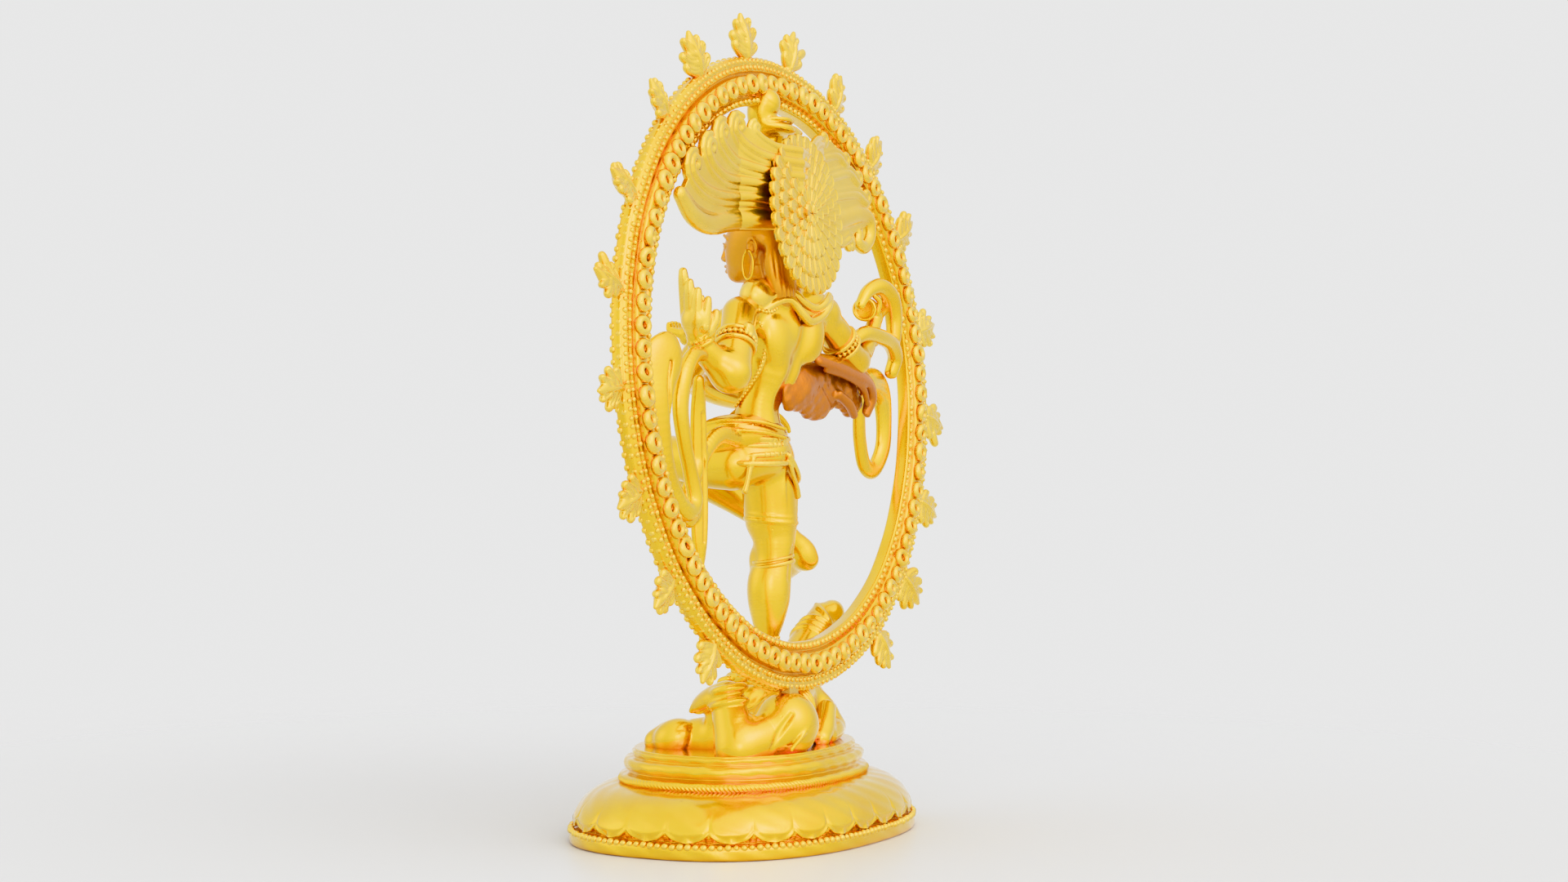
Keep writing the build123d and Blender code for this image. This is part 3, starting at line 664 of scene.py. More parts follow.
# The band's section: radius, then distance to the back.
RING_PROFILE = [
    (149.5, -4.0), (149.3, -1.0), (149.5, 2.2), (150.6, 3.1), (152.6, 3.0), (153.9, 1.9), (154.8, 1.6),
    (155.6, 2.6),
    (156.4, 4.2), (158.0, 4.8), (160.5, 5.0), (164.0, 5.0), (165.6, 4.4), (166.3, 2.6), (166.9, 1.2),
    (167.6, 1.4),
    (168.2, 2.6), (169.4, 3.0), (171.2, 2.6), (173.2, 2.9), (174.6, 2.2), (175.4, 1.3), (176.2, 0.4),
    (176.5, -1.5),
    (176.1, -4.2), (174.8, -5.3), (171.0, -5.6), (166.0, -4.9), (163.0, -5.6), (160.0, -4.9), (155.0, -5.6),
    (151.0, -5.2),
    (149.5, -4.0),
]


def outward(angle):
    """The direction out of the ring, for an angle in radians from the top towards the figure's left."""
    return math.sin(angle) * np.array([1, 0, 0]) + math.cos(angle) * RING_UP


def on_ring(angle, radius, back):
    """A point of the aureole."""
    return RING_CENTRE + radius * outward(angle) + back * RING_BACK


def ring_axes(angle):
    """Axes at a place on the ring: x round it, y outwards, z to the back."""
    return np.stack([np.cross(outward(angle), RING_BACK), outward(angle), RING_BACK], axis=1)


def waviness(angle, terms):
    """How far the casting strays outwards from a true circle."""
    return sum(height * np.sin(times * angle + phase) for height, times, phase in RING_WAVES[:terms])


def build_ring():
    """The band, swept round from its section."""
    sides = 1440
    profile = smooth_path(RING_PROFILE, 4)[:-1]
    angles = 2 * np.pi * np.arange(sides) / sides
    directions = np.sin(angles)[:, None] * np.array([1, 0, 0]) + np.cos(angles)[:, None] * RING_UP
    radius = profile[:, 0][:, None] + waviness(angles, 3)[None, :]
    back = profile[:, 1][:, None, None] * RING_BACK
    points = RING_CENTRE + radius[:, :, None] * directions[None, :, :] + back
    starts = np.arange(len(profile)) * sides
    ring = np.arange(sides)
    faces = [belt(a + ring, b + ring, flip=True) for a, b in zip(starts, np.roll(starts, -1))]
    return points.reshape(-1, 3), np.vstack(faces).tolist()


def ring_row(count, radius, back, shape, facing="back"):
    """A row of beads on the band, slightly uneven in pitch and size."""
    places = []
    for i in range(count):
        angle = 2 * math.pi * (i + 0.1 * rng.standard_normal()) / count
        axes = ring_axes(angle)
        if facing == "out":
            axes = axes[:, [0, 2, 1]] * np.array([1, -1, 1])
        size = 1 + 0.06 * rng.standard_normal()
        places.append((on_ring(angle, radius + waviness(angle, 2), back), axes * size))
    return scattered(shape, places)


def ring_beads():
    """The six rows: count, radius, distance to the back, and shape."""
    points, faces = ball(1.0, 0.8)
    bar = (points * np.array([0.85, 1.6, 0.8]), faces)
    points, faces = ball(1.0)
    block = (np.sign(points) * np.abs(points) ** 0.8 * np.array([1.7, 2.0, 1.6]), faces)
    return merge([
        ring_row(196, 151.9, 3.0, ball(1.8, 0.9)),
        ring_row(232, 170.3, 2.7, ball(1.45, 0.9)),
        ring_row(232, 174.0, 2.2, ball(1.45, 0.9)),
        ring_row(116, 172.1, 2.3, bar),
        ring_row(190, 175.6, -0.6, ball(1.7, 0.7), facing="out"),
        ring_row(184, 175.2, -4.2, block),
    ])


ROSETTES = 84
ROSETTE_SEAT = (161.4, 5.6)  # radius and distance to the back
ROSETTE_SECTION = [
    (1.7, -1.4), (1.6, 0.4), (1.9, 1.5), (2.7, 2.3), (3.6, 2.5), (4.5, 2.1), (5.3, 1.2), (5.75, 0.1),
    (5.6, -0.8),
    (5.2, -1.4),
]


def rosette_rows():
    """Open bosses round the middle of the band, each tilted a little."""
    places = []
    for i in range(ROSETTES):
        angle = 2 * math.pi * i / ROSETTES
        tilt = 0.09 * rng.standard_normal(2)
        axes = ring_axes(angle)
        axes = frame_axes(axes[:, 2] + tilt[0] * axes[:, 0] + tilt[1] * axes[:, 1], axes[:, 0])
        axes = axes * (1 + 0.04 * rng.standard_normal())
        radius, back = ROSETTE_SEAT
        places.append((on_ring(angle, radius + 0.4 * rng.standard_normal(), back), axes))
    return scattered(lathe(ROSETTE_SECTION), places)


FLAME_SHAPES = 5
FLAME_COUNT = 18
FLAME_PITCH = 17.3  # degrees
FLAME_OFFSET = 5.9  # degrees
FLAME_FOOT = (RING_OUTER - 0.3, -0.8)  # radius and distance to the back
# Lobes on each side of a flame: foot, reach, top, girth.
FLAME_LOBES = [(3.5, 8.8, 6.6, 2.9), (9.0, 9.4, 13.6, 2.9), (14.0, 5.2, 19.4, 2.3)]


def flame_forms(seed):
    """One leaf of fire, its foot at the origin, pointing up +Y, with its face towards +Z."""
    draw = np.random.default_rng(seed)
    lean = 1.6 * draw.standard_normal()
    to_face = (0, 0, 1)
    stem = [(0, -3.5, 0, 4.6, 3.0), (0, 1.5, 0, 3.8, 2.8), (lean * 0.3, 7, 0.3, 7.0, 3.6),
            (lean * 0.7, 13, 0.8, 6.4, 3.4), (lean, 18.5, 1.0, 3.6, 2.6), (lean * 1.3, 23.6, 1.2, 1.3, 1.3)]
    forms = [stroke(stem, flat=to_face, blend=1.5)]
    for side in (-1, 1):
        for foot, reach, top, girth in FLAME_LOBES:
            reach = reach * (1 + 0.09 * draw.standard_normal())
            top = top + 0.6 * draw.standard_normal()
            lobe = [(side * 1.2 + lean * 0.4, foot - 1.0, 0.2, girth * 1.15, 2.9),
                    (side * reach * 0.6 + lean * 0.5, (foot + top) / 2 - 0.6, 0.5, girth * 1.1, 2.9),
                    (side * reach + lean * 0.6, top, 0.9, girth * 0.95, 2.4),
                    (side * (reach + 0.6) + lean * 0.6, top + 1.4, 1.1, girth * 0.6, 1.7)]
            forms.append(stroke(lobe, flat=to_face, blend=0.9))
    for side, (foot, reach, top, _), face, shift in product((-1, 1), FLAME_LOBES, (-1, 1), (-1.0, 1.3)):
        groove = [(side * 1.0, foot + 0.4 + 0.5 * shift, face * 4.2, 0.6),
                  (side * reach * 0.62, (foot + top) / 2 + shift, face * 3.7, 0.75),
                  (side * reach * 0.98, top + 0.6 + shift, face * 3.0, 0.6)]
        forms.append(stroke(groove, cut=True, blend=0.8))
    for face in (-1, 1):
        rib = [(0, 1, face * 2.6, 1.2), (lean * 0.5, 8, face * 3.4 + 0.2, 1.5),
               (lean, 16, face * 2.6 + 0.6, 1.1),
               (lean * 1.2, 21.5, 1.0, 0.9)]
        forms.append(stroke(rib, blend=0.8))
    return forms


def flame_shape(seed):
    """The mesh of one flame."""
    forms = flame_forms(seed)
    margin = 1.5
    low = np.min([form.low for form in forms], axis=0) - margin
    high = np.max([form.high for form in forms], axis=0) + margin
    points, faces = skin(*fill(forms, low, high, FINE_STEP * 0.9))
    return relax(points, faces, 1), faces


def build_flames():
    """The flames round the ring, from a few shapes, each turned and sized a little differently."""
    shapes = [flame_shape(seed) for seed in range(FLAME_SHAPES)]
    parts = []
    for i in range(FLAME_COUNT):
        turn = FLAME_OFFSET + FLAME_PITCH * (i - FLAME_COUNT // 2) + 0.9 * rng.standard_normal()
        angle = math.radians(turn)
        roll = math.radians(9 * rng.standard_normal())
        across_ring, out, back = ring_axes(angle).T
        turned = np.stack([math.cos(roll) * across_ring + math.sin(roll) * back, out,
                           -math.sin(roll) * across_ring + math.cos(roll) * back], axis=1)
        points, faces = shapes[i % FLAME_SHAPES]
        scale = 0.97 + 0.03 * rng.standard_normal()
        parts.append((points * scale @ turned.T + on_ring(angle, *FLAME_FOOT), faces.tolist()))
    return merge(parts)


# ------------------------------------------------------------------ pedestal and aureole pieces
# The order of these calls is the order of the random draws.
make_mesh("pedestal", *build_pedestal(), FIGURE_BRASS, "root", "brass_pedestal", ["lotus_pedestal"])
make_mesh("pedestal_beads", *rim_beads(), RELIEF_HIGHLIGHT_BRASS, "root", "brass_pedestal")
make_mesh("aureole_band", *build_ring(), FIGURE_BRASS, "aureole", "brass_aureole", ["aureole_ring"])
make_mesh("aureole_beads", *ring_beads(), RELIEF_HIGHLIGHT_BRASS, "aureole", "brass_aureole")
make_mesh("rosettes_visual", *rosette_rows(), RELIEF_HIGHLIGHT_BRASS, "aureole", "brass_aureole", ["rosettes"])
make_mesh("flames_visual", *build_flames(), RELIEF_HIGHLIGHT_BRASS, "aureole", "brass_aureole", ["flames"])


# ------------------------------------------------------------------ helpers for the figure
TAPER = 0.32  # share of its girth that a finger loses by its tip
ANY_SIDE = (0.3, 0.2, 1.0)  # a direction that no limb runs along
WHOLE_TURN = (0, 2 * math.pi)


def hoop(centre, radii, thick, tilt=(0.0, 0.0), blend=0.6):
    """A band round a limb: an ellipse about Z, tilted by the given slopes in X and Y."""
    rows = []
    for angle in np.radians(np.linspace(0, 360, 20)):
        x, y = radii[0] * math.cos(angle), radii[1] * math.sin(angle)
        rows.append((centre[0] + x, centre[1] + y, centre[2] + tilt[0] * x + tilt[1] * y, thick))
    return stroke(rows, blend=blend, per_span=2)


def circle(centre, axis, radius, count):
    """Points of a circle about an axis, the last one on the first."""
    x_axis, y_axis, _ = frame_axes(axis, ANY_SIDE).T
    middle = np.array(centre)
    turns = np.linspace(*WHOLE_TURN, count)
    return [middle + radius * (math.cos(turn) * x_axis + math.sin(turn) * y_axis) for turn in turns]


def across(centre, axis, radius, thick, blend=0.5):
    """A band round a limb that runs along any axis."""
    return stroke([(*place, thick) for place in circle(centre, axis, radius, 16)], blend=blend, per_span=2)


def bead_band(centre, axis, radius, bead, pitch):
    """A row of beads round a limb."""
    return beads_along(circle(centre, axis, radius, 17), bead, pitch, blend=0.3)


def groove(points, blend):
    """A rounded cut."""
    return stroke(points, blend=blend, cut=True)


def rumpled(form, depth, size, seed=0.0):
    """The same shape with an uneven, hammered surface."""
    def distance(axes):
        x, y, z = spread(axes)
        x, y, z = x / size, y / size, z / size
        wave = np.sin(x + seed) * np.sin(y * 1.3 + 1 + seed) + np.sin(z * 1.1 + x * 0.7 + seed)
        fine = np.sin(x * 2.7 + z) * np.sin(z * 2.3 + 2 * seed)
        return form.distance(axes) + depth * (0.6 * wave + 0.4 * fine)

    return Form(form.low - depth * 2, form.high + depth * 2, distance, form.blend, form.cut)


def finger(points, girth, blend=0.6):
    """A finger or toe through points, tapering to its tip."""
    last = len(points) - 1
    return stroke([(*p, girth * (1 - TAPER * i / last)) for i, p in enumerate(points)], blend=blend)


def plate(outline, y, half_thickness):
    """A flat sheet in the plane of Y with an (x, z) outline."""
    outline = np.array(outline, float)
    low = (outline[:, 0].min(), y - half_thickness, outline[:, 1].min())
    high = (outline[:, 0].max(), y + half_thickness, outline[:, 1].max())

    def distance(axes):
        x, across_y, z = spread(axes)
        near = np.full(np.broadcast_shapes(x.shape, z.shape), FAR)
        inside = np.zeros(near.shape, bool)
        for (ax, az), (bx, bz) in zip(outline, np.roll(outline, -1, axis=0)):
            ex, ez = bx - ax, bz - az
            t = np.clip(((x - ax) * ex + (z - az) * ez) / (ex * ex + ez * ez), 0, 1)
            near = np.minimum(near, np.hypot(x - ax - t * ex, z - az - t * ez))
            if abs(ez) > TINY:
                inside ^= ((az > z) != (bz > z)) & (x < ex * (z - az) / ez + ax)
        near = np.where(inside, -near, near)
        return np.maximum(near, np.abs(across_y - y) - half_thickness)

    return Form(low, high, distance)


HAIR_PLANE = 22.0
FAN_BEND = 13.0  # how far the fans' inner ends are bent to the back
FAN_BEND_START = 50.0  # distance from the middle where the bend starts
CURL_STEPS = 11
CURL_TURN = 1.9 * math.pi
CURL_CLOSES = 0.78  # share of its radius that a curl loses by its end
THIN_STRAND_STOPS = 7  # the thin strand ends this many points before a curl's end


def curl_points(end, heading, curl):
    """A spiral that goes on from the end of a lock, to the left if curl is above zero."""
    start = math.atan2(heading[1], heading[0])
    side = math.copysign(1, curl)
    reach = abs(curl)
    centre = end + reach * np.array([-math.sin(start), math.cos(start)]) * side
    spiral = []
    for t in np.linspace(0.1, 1.0, CURL_STEPS):
        angle = start - side * math.pi / 2 + side * t * CURL_TURN
        spiral.append(centre + reach * (1 - CURL_CLOSES * t) * np.array([math.cos(angle), math.sin(angle)]))
    return spiral


def lock(path, width, curl):
    """A lock of hair in the hair's plane: a thick strand and a thin one beside it, ending in a curl."""
    rows = smooth_path(path, 5)
    spiral = curl_points(rows[-1], rows[-1] - rows[-2], curl)
    fade = np.concatenate([np.ones(len(rows)), np.linspace(0.95, 0.62, CURL_STEPS)])
    rows = np.vstack([rows, spiral])
    ahead = np.gradient(rows, axis=0)
    normal = np.stack([ahead[:, 1], -ahead[:, 0]], axis=1) / (np.linalg.norm(ahead, axis=1)[:, None] + TINY)
    beside = rows + normal * (0.98 * width * fade)[:, None]
    thick = [(x, HAIR_PLANE, z, 0.80 * width * share) for (x, z), share in zip(rows, fade)]
    thin = [(x, HAIR_PLANE, z, 0.58 * width * share) for (x, z), share in zip(beside, fade)]
    thin = thin[: len(rows) - THIN_STRAND_STOPS]
    return [stroke(strand, blend=0.5, per_span=1) for strand in (thick, thin)]


# ------------------------------------------------------------------ figure
# Each piece is a list of forms: every form is joined to, or cut from, the ones before it.
sculpture = {}

# Body and legs.
sculpture["torso"] = [
    egg((-2, 8, 211), (22.5, 17, 14), turn=(0, 0, -4)),
    egg((13, 3, 209), (13, 15.5, 14), blend=6),
    stroke([(-1, 8, 217, 16), (1, 8.5, 230, 12.8), (1, 9.5, 242, 12), (-3, 12.5, 256, 14.2)], blend=8),
    egg((-7, 15.5, 269), (19.5, 13.5, 20), turn=(0, 7, -14), blend=9),
    egg((-11, 19, 283), (29, 12.5, 13.5), turn=(0, 2, -14), blend=8),
    stroke([(22, 9, 291.5, 8.8), (8, 14, 296, 9.2), (-8, 19, 298, 9.6), (-26, 25, 297, 9.2),
            (-42, 28, 292.5, 9.4)], blend=7),
    stroke([(-5, 14, 292, 9.5), (-4, 12, 302, 8.4), (-3, 10, 308, 8.2)], blend=5),
    egg((7, 23, 276), (8, 5, 12), turn=(0, 12, -14), blend=6),
    egg((-23, 30, 276), (9, 5, 12), turn=(0, -12, -14), blend=6),
    egg((2, -0.5, 276), (9.5, 5.5, 8), turn=(0, 0, -14), blend=5),
    egg((-16, 3.5, 276), (9.5, 5.5, 8), turn=(0, 0, -14), blend=5),
    egg((1, -5, 226), (11, 5, 10), blend=7),
    egg((3, -4.5, 234), (1.4, 3, 1.4), blend=1.5, cut=True),
    groove([(-13, 34.5, 290, 1.6), (-11, 33.8, 276, 1.9), (-4, 29.5, 258, 1.8), (0, 24.5, 242, 1.8),
            (-1, 26.5, 226, 1.4)], 7),
    groove([(-3, 28, 212, 1.2), (-3, 27.5, 203, 1.6), (-2, 24, 197, 1.4)], 4),
]
sculpture["standing_leg"] = [
    stroke([(-10, 8.5, 208, 15.5), (-12, 9, 194, 15.6), (-12.5, 9.5, 182, 15.2), (-12.5, 10, 175.5, 14.8)]),
    stroke([(-12.5, 10.5, 178, 12.8), (-12, 12, 165, 12.0), (-10.5, 12.5, 152, 10.6), (-8.5, 11, 141, 12.2),
            (-8, 10.8, 132, 12.0), (-7, 11, 121, 9.4), (-5.5, 11.5, 111, 6.4), (-5, 11.5, 102, 5.8),
            (-5, 12, 94, 6.4)], blend=2.5),
    egg((-11.5, 2.5, 153), (6.5, 5, 7), blend=5),
    egg((-5, 15, 88), (5.8, 6.5, 6), blend=3),
    stroke([(-5, 13, 90, 6), (-7, 3, 88.5, 6), (-9.5, -7, 86, 5.6), (-10.5, -14, 84.5, 4.2)], blend=3.5),
    hoop((-12.5, 9.8, 175), (14.3, 14.3), 1.5, tilt=(0.05, -0.08)),
    hoop((-12.5, 9.8, 178), (14.6, 14.6), 0.9, tilt=(0.05, -0.08)),
    stroke([(-20, 21.5, 203, 0.9), (-19, 22.5, 192, 1.0), (-17, 23, 180, 0.8)], blend=1.6),
    stroke([(-4, 22.5, 204, 0.7), (-4.5, 22.5, 192, 0.8), (-6, 22, 180, 0.7)], blend=1.6),
    groove([(-14, 24, 160, 0.7), (-11.5, 23.2, 152, 0.8), (-9, 24, 143, 0.7)], 3),
] + [finger([(-15 + 2.6 * i, -14, 84.5), (-15.6 + 2.7 * i, -18, 83.5),
             (-15.8 + 2.8 * i, -20.8 + 0.5 * i, 81.8)], 1.9 + 0.15 * i)
     for i in range(5)]
sculpture["raised_leg"] = [
    stroke([(15, 0, 207, 14.5), (18, -14, 208, 14), (20, -27, 210, 12.6), (19, -36, 211, 11.4)]),
    stroke([(18, -38, 211, 10.6), (7, -36, 205, 10.2), (-9, -30, 196, 9.6), (-28, -21, 185, 8.2),
            (-46, -11, 173, 6.8), (-58, -4, 164, 5.8)], blend=4),
    egg((20, -40, 212), (7.5, 7.5, 8), blend=5),
    stroke([(-58, -4, 164, 5.8), (-66, 1, 156, 7.0), (-69, 3, 150, 6.8)], blend=3),
    stroke([(-67, 1, 152, 7.0), (-74, -7, 148, 6.4), (-82, -17, 142.5, 5.6), (-86, -23, 139, 4.0)],
           blend=3.5),
    across((18, -24, 209.5), (0.05, -1, 0.1), 12.8, 1.3),
    across((-50, -8.5, 170), (-0.8, 0.45, -0.4), 6.8, 1.2),
    bead_band((-53, -7, 167.6), (-0.8, 0.45, -0.4), 6.9, 1.2, 2.6),
] + [finger([(-84 + 2.0 * i, -22 - 1.2 * i, 140.5 - 0.9 * i), (-87 + 2.0 * i, -26 - 1.2 * i, 139 - 0.9 * i),
             (-88.5 + 2.0 * i, -28.5 - 1.2 * i, 137.4 - 0.9 * i)], 1.9) for i in range(5)]

# Head and crown.
sculpture["head"] = [
    egg((0, 7, 335), (14.2, 16.5, 15), turn=(6, 0, 0)),
    egg((0, 0.5, 324), (11.5, 11.5, 14), blend=6),
    egg((0, -5, 313.5), (5.0, 4.6, 4.2), blend=5),
    stroke([(-3, 11, 304, 8.3), (-2, 8, 312, 8.0), (-1, 7, 320, 8.5)], blend=4),
    egg((0, 21, 318), (12.5, 7.5, 20), turn=(8, 0, 0), blend=4),
    egg((-4, 24, 303), (11, 6.5, 9), blend=5),
    stroke([(0, -10.5, 333, 1.4), (0, -12.2, 327, 1.5), (0, -13.2, 322.8, 2.0)], blend=2.2),
    egg((2.0, -11.4, 321.8), (1.4, 1.8, 1.3), blend=1.2),
    egg((-2.0, -11.4, 321.8), (1.4, 1.8, 1.3), blend=1.2),
    stroke([(-4.0, -9.0, 317.4, 0.6), (-1.6, -11.2, 318.0, 1.1), (0, -11.5, 317.7, 1.0),
            (1.6, -11.2, 318.0, 1.1), (4.0, -9.0, 317.4, 0.6)], blend=0.9),
    stroke([(-3.2, -9.4, 316.0, 0.6), (0, -11.2, 315.3, 1.3), (3.2, -9.4, 316.0, 0.6)], blend=0.9),
    groove([(-4.0, -9.9, 316.9, 0.3), (0, -12.2, 316.7, 0.35), (4.0, -9.9, 316.9, 0.3)], 0.5),
]
for side in (-1, 1):
    sculpture["head"] += [
        egg((side * 5.4, -8.6, 329), (3.4, 2.0, 1.9), turn=(0, 0, side * 22), blend=1.0),
        stroke([(side * 2.2, -10.4, 328.6, 0.35), (side * 5.4, -10.9, 330.9, 0.45),
                (side * 9.2, -7.4, 329.2, 0.35)], blend=0.5),
        stroke([(side * 2.4, -10.2, 328.4, 0.3), (side * 5.4, -10.6, 327.1, 0.35),
                (side * 8.8, -7.6, 328.4, 0.3)], blend=0.5),
        stroke([(side * 1.4, -10.8, 333.2, 0.6), (side * 5.6, -10.2, 335.4, 0.8),
                (side * 10.2, -5.8, 333.0, 0.5)], blend=1.2),
        egg((side * 13.8, 12.5, 327), (2.0, 3.4, 6.2), turn=(12, 0, 0), blend=0.8),
        stroke([(side * 15.4, 10.2, 330.5, 0.8), (side * 15.8, 13.4, 333, 0.9),
                (side * 15.4, 15.8, 328.5, 0.9), (side * 15.0, 13.4, 322, 0.9)], blend=0.4),
        egg((side * 15.7, 12.6, 327.5), (1.4, 1.4, 2.8), blend=0.5, cut=True),
        stroke([(side * 13.5, 12.8, 321, 1.5), (side * 14.5, 12.4, 316, 1.2),
                (side * 15.5, 12.2, 313, 1.0)], blend=0.6),
    ]
for k in range(9):
    x = -10 + 2.6 * k
    strand = [(x * 0.9, 26.5 - 0.05 * x * x * 0.6, 336, 0.7), (x, 30.0 - 0.045 * x * x, 322, 0.8),
              (x * 1.02 - 1, 31.5 - 0.045 * x * x, 308, 0.8), (x - 3, 30.0 - 0.04 * x * x, 298, 0.7)]
    sculpture["head"].append(groove(strand, 0.8))
for k in range(13):
    turn = math.radians(-90 + (k - 6) * 13)
    fringe = [(14.0 * math.cos(turn) * 0.9, 7 + 15.8 * math.sin(turn) * 0.97, 341.5, 1.7),
              (13.5 * math.cos(turn) * 0.8, 7 + 15.8 * math.sin(turn) * 0.78, 346.5, 1.4)]
    sculpture["head"].append(stroke(fringe, blend=0.8))

sculpture["crown"] = [
    egg((0, 6, 352), (13.5, 15, 9)),
    stroke([(0, 6.5, 356, 11.2), (0, 8.5, 366, 9.6), (-1, 11, 376, 8.2), (-2, 13.5, 384, 7.0),
            (-3, 15, 390, 6.6)], blend=3),
    egg((-3, 15.5, 395), (13.4, 13.4, 5.0), turn=(-4, -6, 0), blend=2.0),
    stroke([(3, 13.5, 398, 8.6), (5, 13, 403, 7.8), (3, 14, 408.5, 9.2)], blend=2.5),
    stroke([(-10, 18, 394, 5.0), (-19, 20.5, 393.5, 3.4), (-26, 21.5, 393.5, 1.2)], blend=3),
    hoop((-3, 15.3, 398.6), (11.6, 11.6), 1.2, tilt=(0.06, 0.05)),
]
sculpture["crown"].append(bead_band((0, 5.5, 347.5), (0, 0.05, 1), 14.0, 1.25, 2.7))
for k in range(12):
    turn = 2 * math.pi * k / 12
    leaf = [(radius * math.cos(turn), middle + radius * math.sin(turn), z, girth)
            for radius, middle, z, girth in ((12.2, 6.2, 350, 1.4), (11.6, 6.4, 355, 2.0),
                                             (9.8, 7.4, 364, 1.0))]
    sculpture["crown"].append(stroke(leaf, blend=0.7))
for k in range(10):
    turn = 2 * math.pi * (k + 0.5) / 10
    place = (9.4 * math.cos(turn), 7.8 + 9.4 * math.sin(turn), 366.5)
    sculpture["crown"].append(egg(place, (1.7, 1.7, 2.6), blend=0.5))

# Arms: shoulder, elbow and wrist are joined by tapering strokes, then the hand is added.
sculpture["left_rear_arm"] = [
    stroke([(26, 11, 290, 9.8), (34, 14, 281, 9.6), (43, 17, 269, 10.4), (51, 19.5, 258.5, 11.6)]),
    stroke([(51, 18.5, 258.5, 9.8), (59, 14, 265, 8.2), (66, 11.5, 271, 7.0), (69.5, 9.8, 277, 6.4)],
           blend=4),
    across((68.0, 10.8, 274), (0.4, -0.25, 0.9), 6.8, 1.2),
    bead_band((69.2, 10.3, 276.6), (0.4, -0.25, 0.9), 6.6, 1.2, 2.6),
    egg((71.5, 9, 284), (7.2, 5.2, 7.4), turn=(0, 14, 0), blend=2.5),
    finger([(65, 9, 288), (62, 8, 294), (61.5, 7.5, 299)], 2.1, blend=1.2),
]
sculpture["palm_flame"] = [
    egg((72, 10.5, 287), (8.2, 9.0, 9.0), turn=(0, 16, 0)),
    stroke([(73, 4.5, 288, 3.4), (75, 5.0, 297, 3.4), (78, 6.0, 304, 3.2), (80, 6.6, 309, 2.8),
            (80.5, 6.6, 312.5, 2.3)], blend=0.6),
    stroke([(75.5, 8.6, 287, 3.4), (77, 8.8, 296, 3.3), (78.5, 9.4, 302, 3.0), (79, 9.6, 306.5, 2.4)],
           blend=0.5),
    stroke([(76, 12.6, 285, 3.3), (76.5, 13.0, 293, 3.2), (77, 13.4, 299, 2.8), (77, 13.6, 302, 2.2)],
           blend=0.5),
    stroke([(74, 16.0, 283, 3.2), (73.5, 16.8, 290, 3.0), (73, 17.2, 295, 2.6), (72.5, 17.4, 297.5, 2.0)],
           blend=0.5),
    stroke([(70, 17.4, 281, 3.0), (68.5, 19.2, 286, 2.8), (67.5, 19.6, 290.5, 2.1)], blend=0.5),
]
sculpture["left_front_arm"] = [
    stroke([(17, -1, 285, 9.6), (17, -14, 276, 9.0), (14, -26, 264, 8.8), (10, -33, 258, 8.2)]),
    stroke([(10, -33, 258, 8.0), (-8, -35, 252, 7.4), (-28, -32, 246, 6.6), (-48, -28, 242, 5.4),
            (-58, -26, 240, 4.6)], blend=4),
    across((-50, -27.5, 241.8), (-1, 0.2, -0.2), 5.6, 1.1),
    bead_band((-53, -27, 241.2), (-1, 0.2, -0.2), 5.3, 1.1, 2.4),
    egg((-65, -24.5, 237), (7.5, 4.2, 4.6), turn=(0, -25, 0), blend=2.5),
    finger([(-61, -28, 236), (-64, -29, 231), (-66, -28, 227)], 1.8, blend=1.2),
] + [finger([(-69 - 0.8 * i, -27.5 + 2.6 * i, 235), (-75 - 0.8 * i, -26 + 2.6 * i, 231.5),
             (-80 - 0.5 * i, -24.5 + 2.6 * i, 226.0 + 0.4 * i),
             (-82.5, -24 + 2.6 * i, 221.5 + 0.8 * i)], 1.75) for i in range(4)]
sculpture["right_front_arm"] = [
    stroke([(-36, 12, 285, 9.4), (-44, 5, 276, 9.2), (-52, -2, 266, 9.0), (-53, -7, 263, 8.4)]),
    stroke([(-53, -7, 263, 8.0), (-49, -20, 266, 6.8), (-43, -36, 271, 5.6), (-39, -47, 275, 4.7)],
           blend=4),
    across((-41, -42, 273.2), (0.3, -0.9, 0.3), 5.5, 1.1),
    bead_band((-40, -45, 274.2), (0.3, -0.9, 0.3), 5.2, 1.1, 2.4),
    egg((-36, -57, 281), (6.6, 5.6, 7.4), turn=(-28, 0, 0), blend=2.5),
    finger([(-30.5, -54, 279), (-28, -55, 284), (-27.5, -56, 288.5)], 1.8, blend=1.2),
] + [finger([(-41 + 3.2 * i, -60, 281), (-41.2 + 3.3 * i, -66.5, 283),
             (-41.2 + 3.3 * i, -67.5, 287 - 0.5 * abs(i - 1.5))], 2.8)
     for i in range(4)]
sculpture["right_rear_arm"] = [
    stroke([(-45, 26.5, 288, 9.8), (-55, 29, 280, 9.4), (-65, 30.5, 271, 9.0), (-74, 31, 265, 8.6)]),
    stroke([(-74, 31, 265, 8.0), (-86, 30.5, 271, 6.4), (-97, 29.5, 280, 5.2), (-103, 29, 286, 4.4)],
           blend=4),
    across((-95, 29.6, 278.3), (-0.75, -0.05, 0.65), 5.8, 1.1),
    bead_band((-98, 29.4, 281), (-0.75, -0.05, 0.65), 5.5, 1.1, 2.4),
    egg((-107, 28.5, 291), (5.0, 4.2, 6.6), turn=(0, -20, 0), blend=2.5),
    finger([(-111, 28, 294), (-116, 28, 300), (-113, 26, 306), (-106, 24, 306)], 2.3, blend=1.2),
    finger([(-111, 30, 293), (-118, 30, 297), (-118, 29, 305), (-110, 27.5, 308.5)], 2.3, blend=1.2),
    finger([(-104, 31, 294), (-104, 32.5, 300), (-100, 31, 303.5)], 2.0, blend=1.0),
]

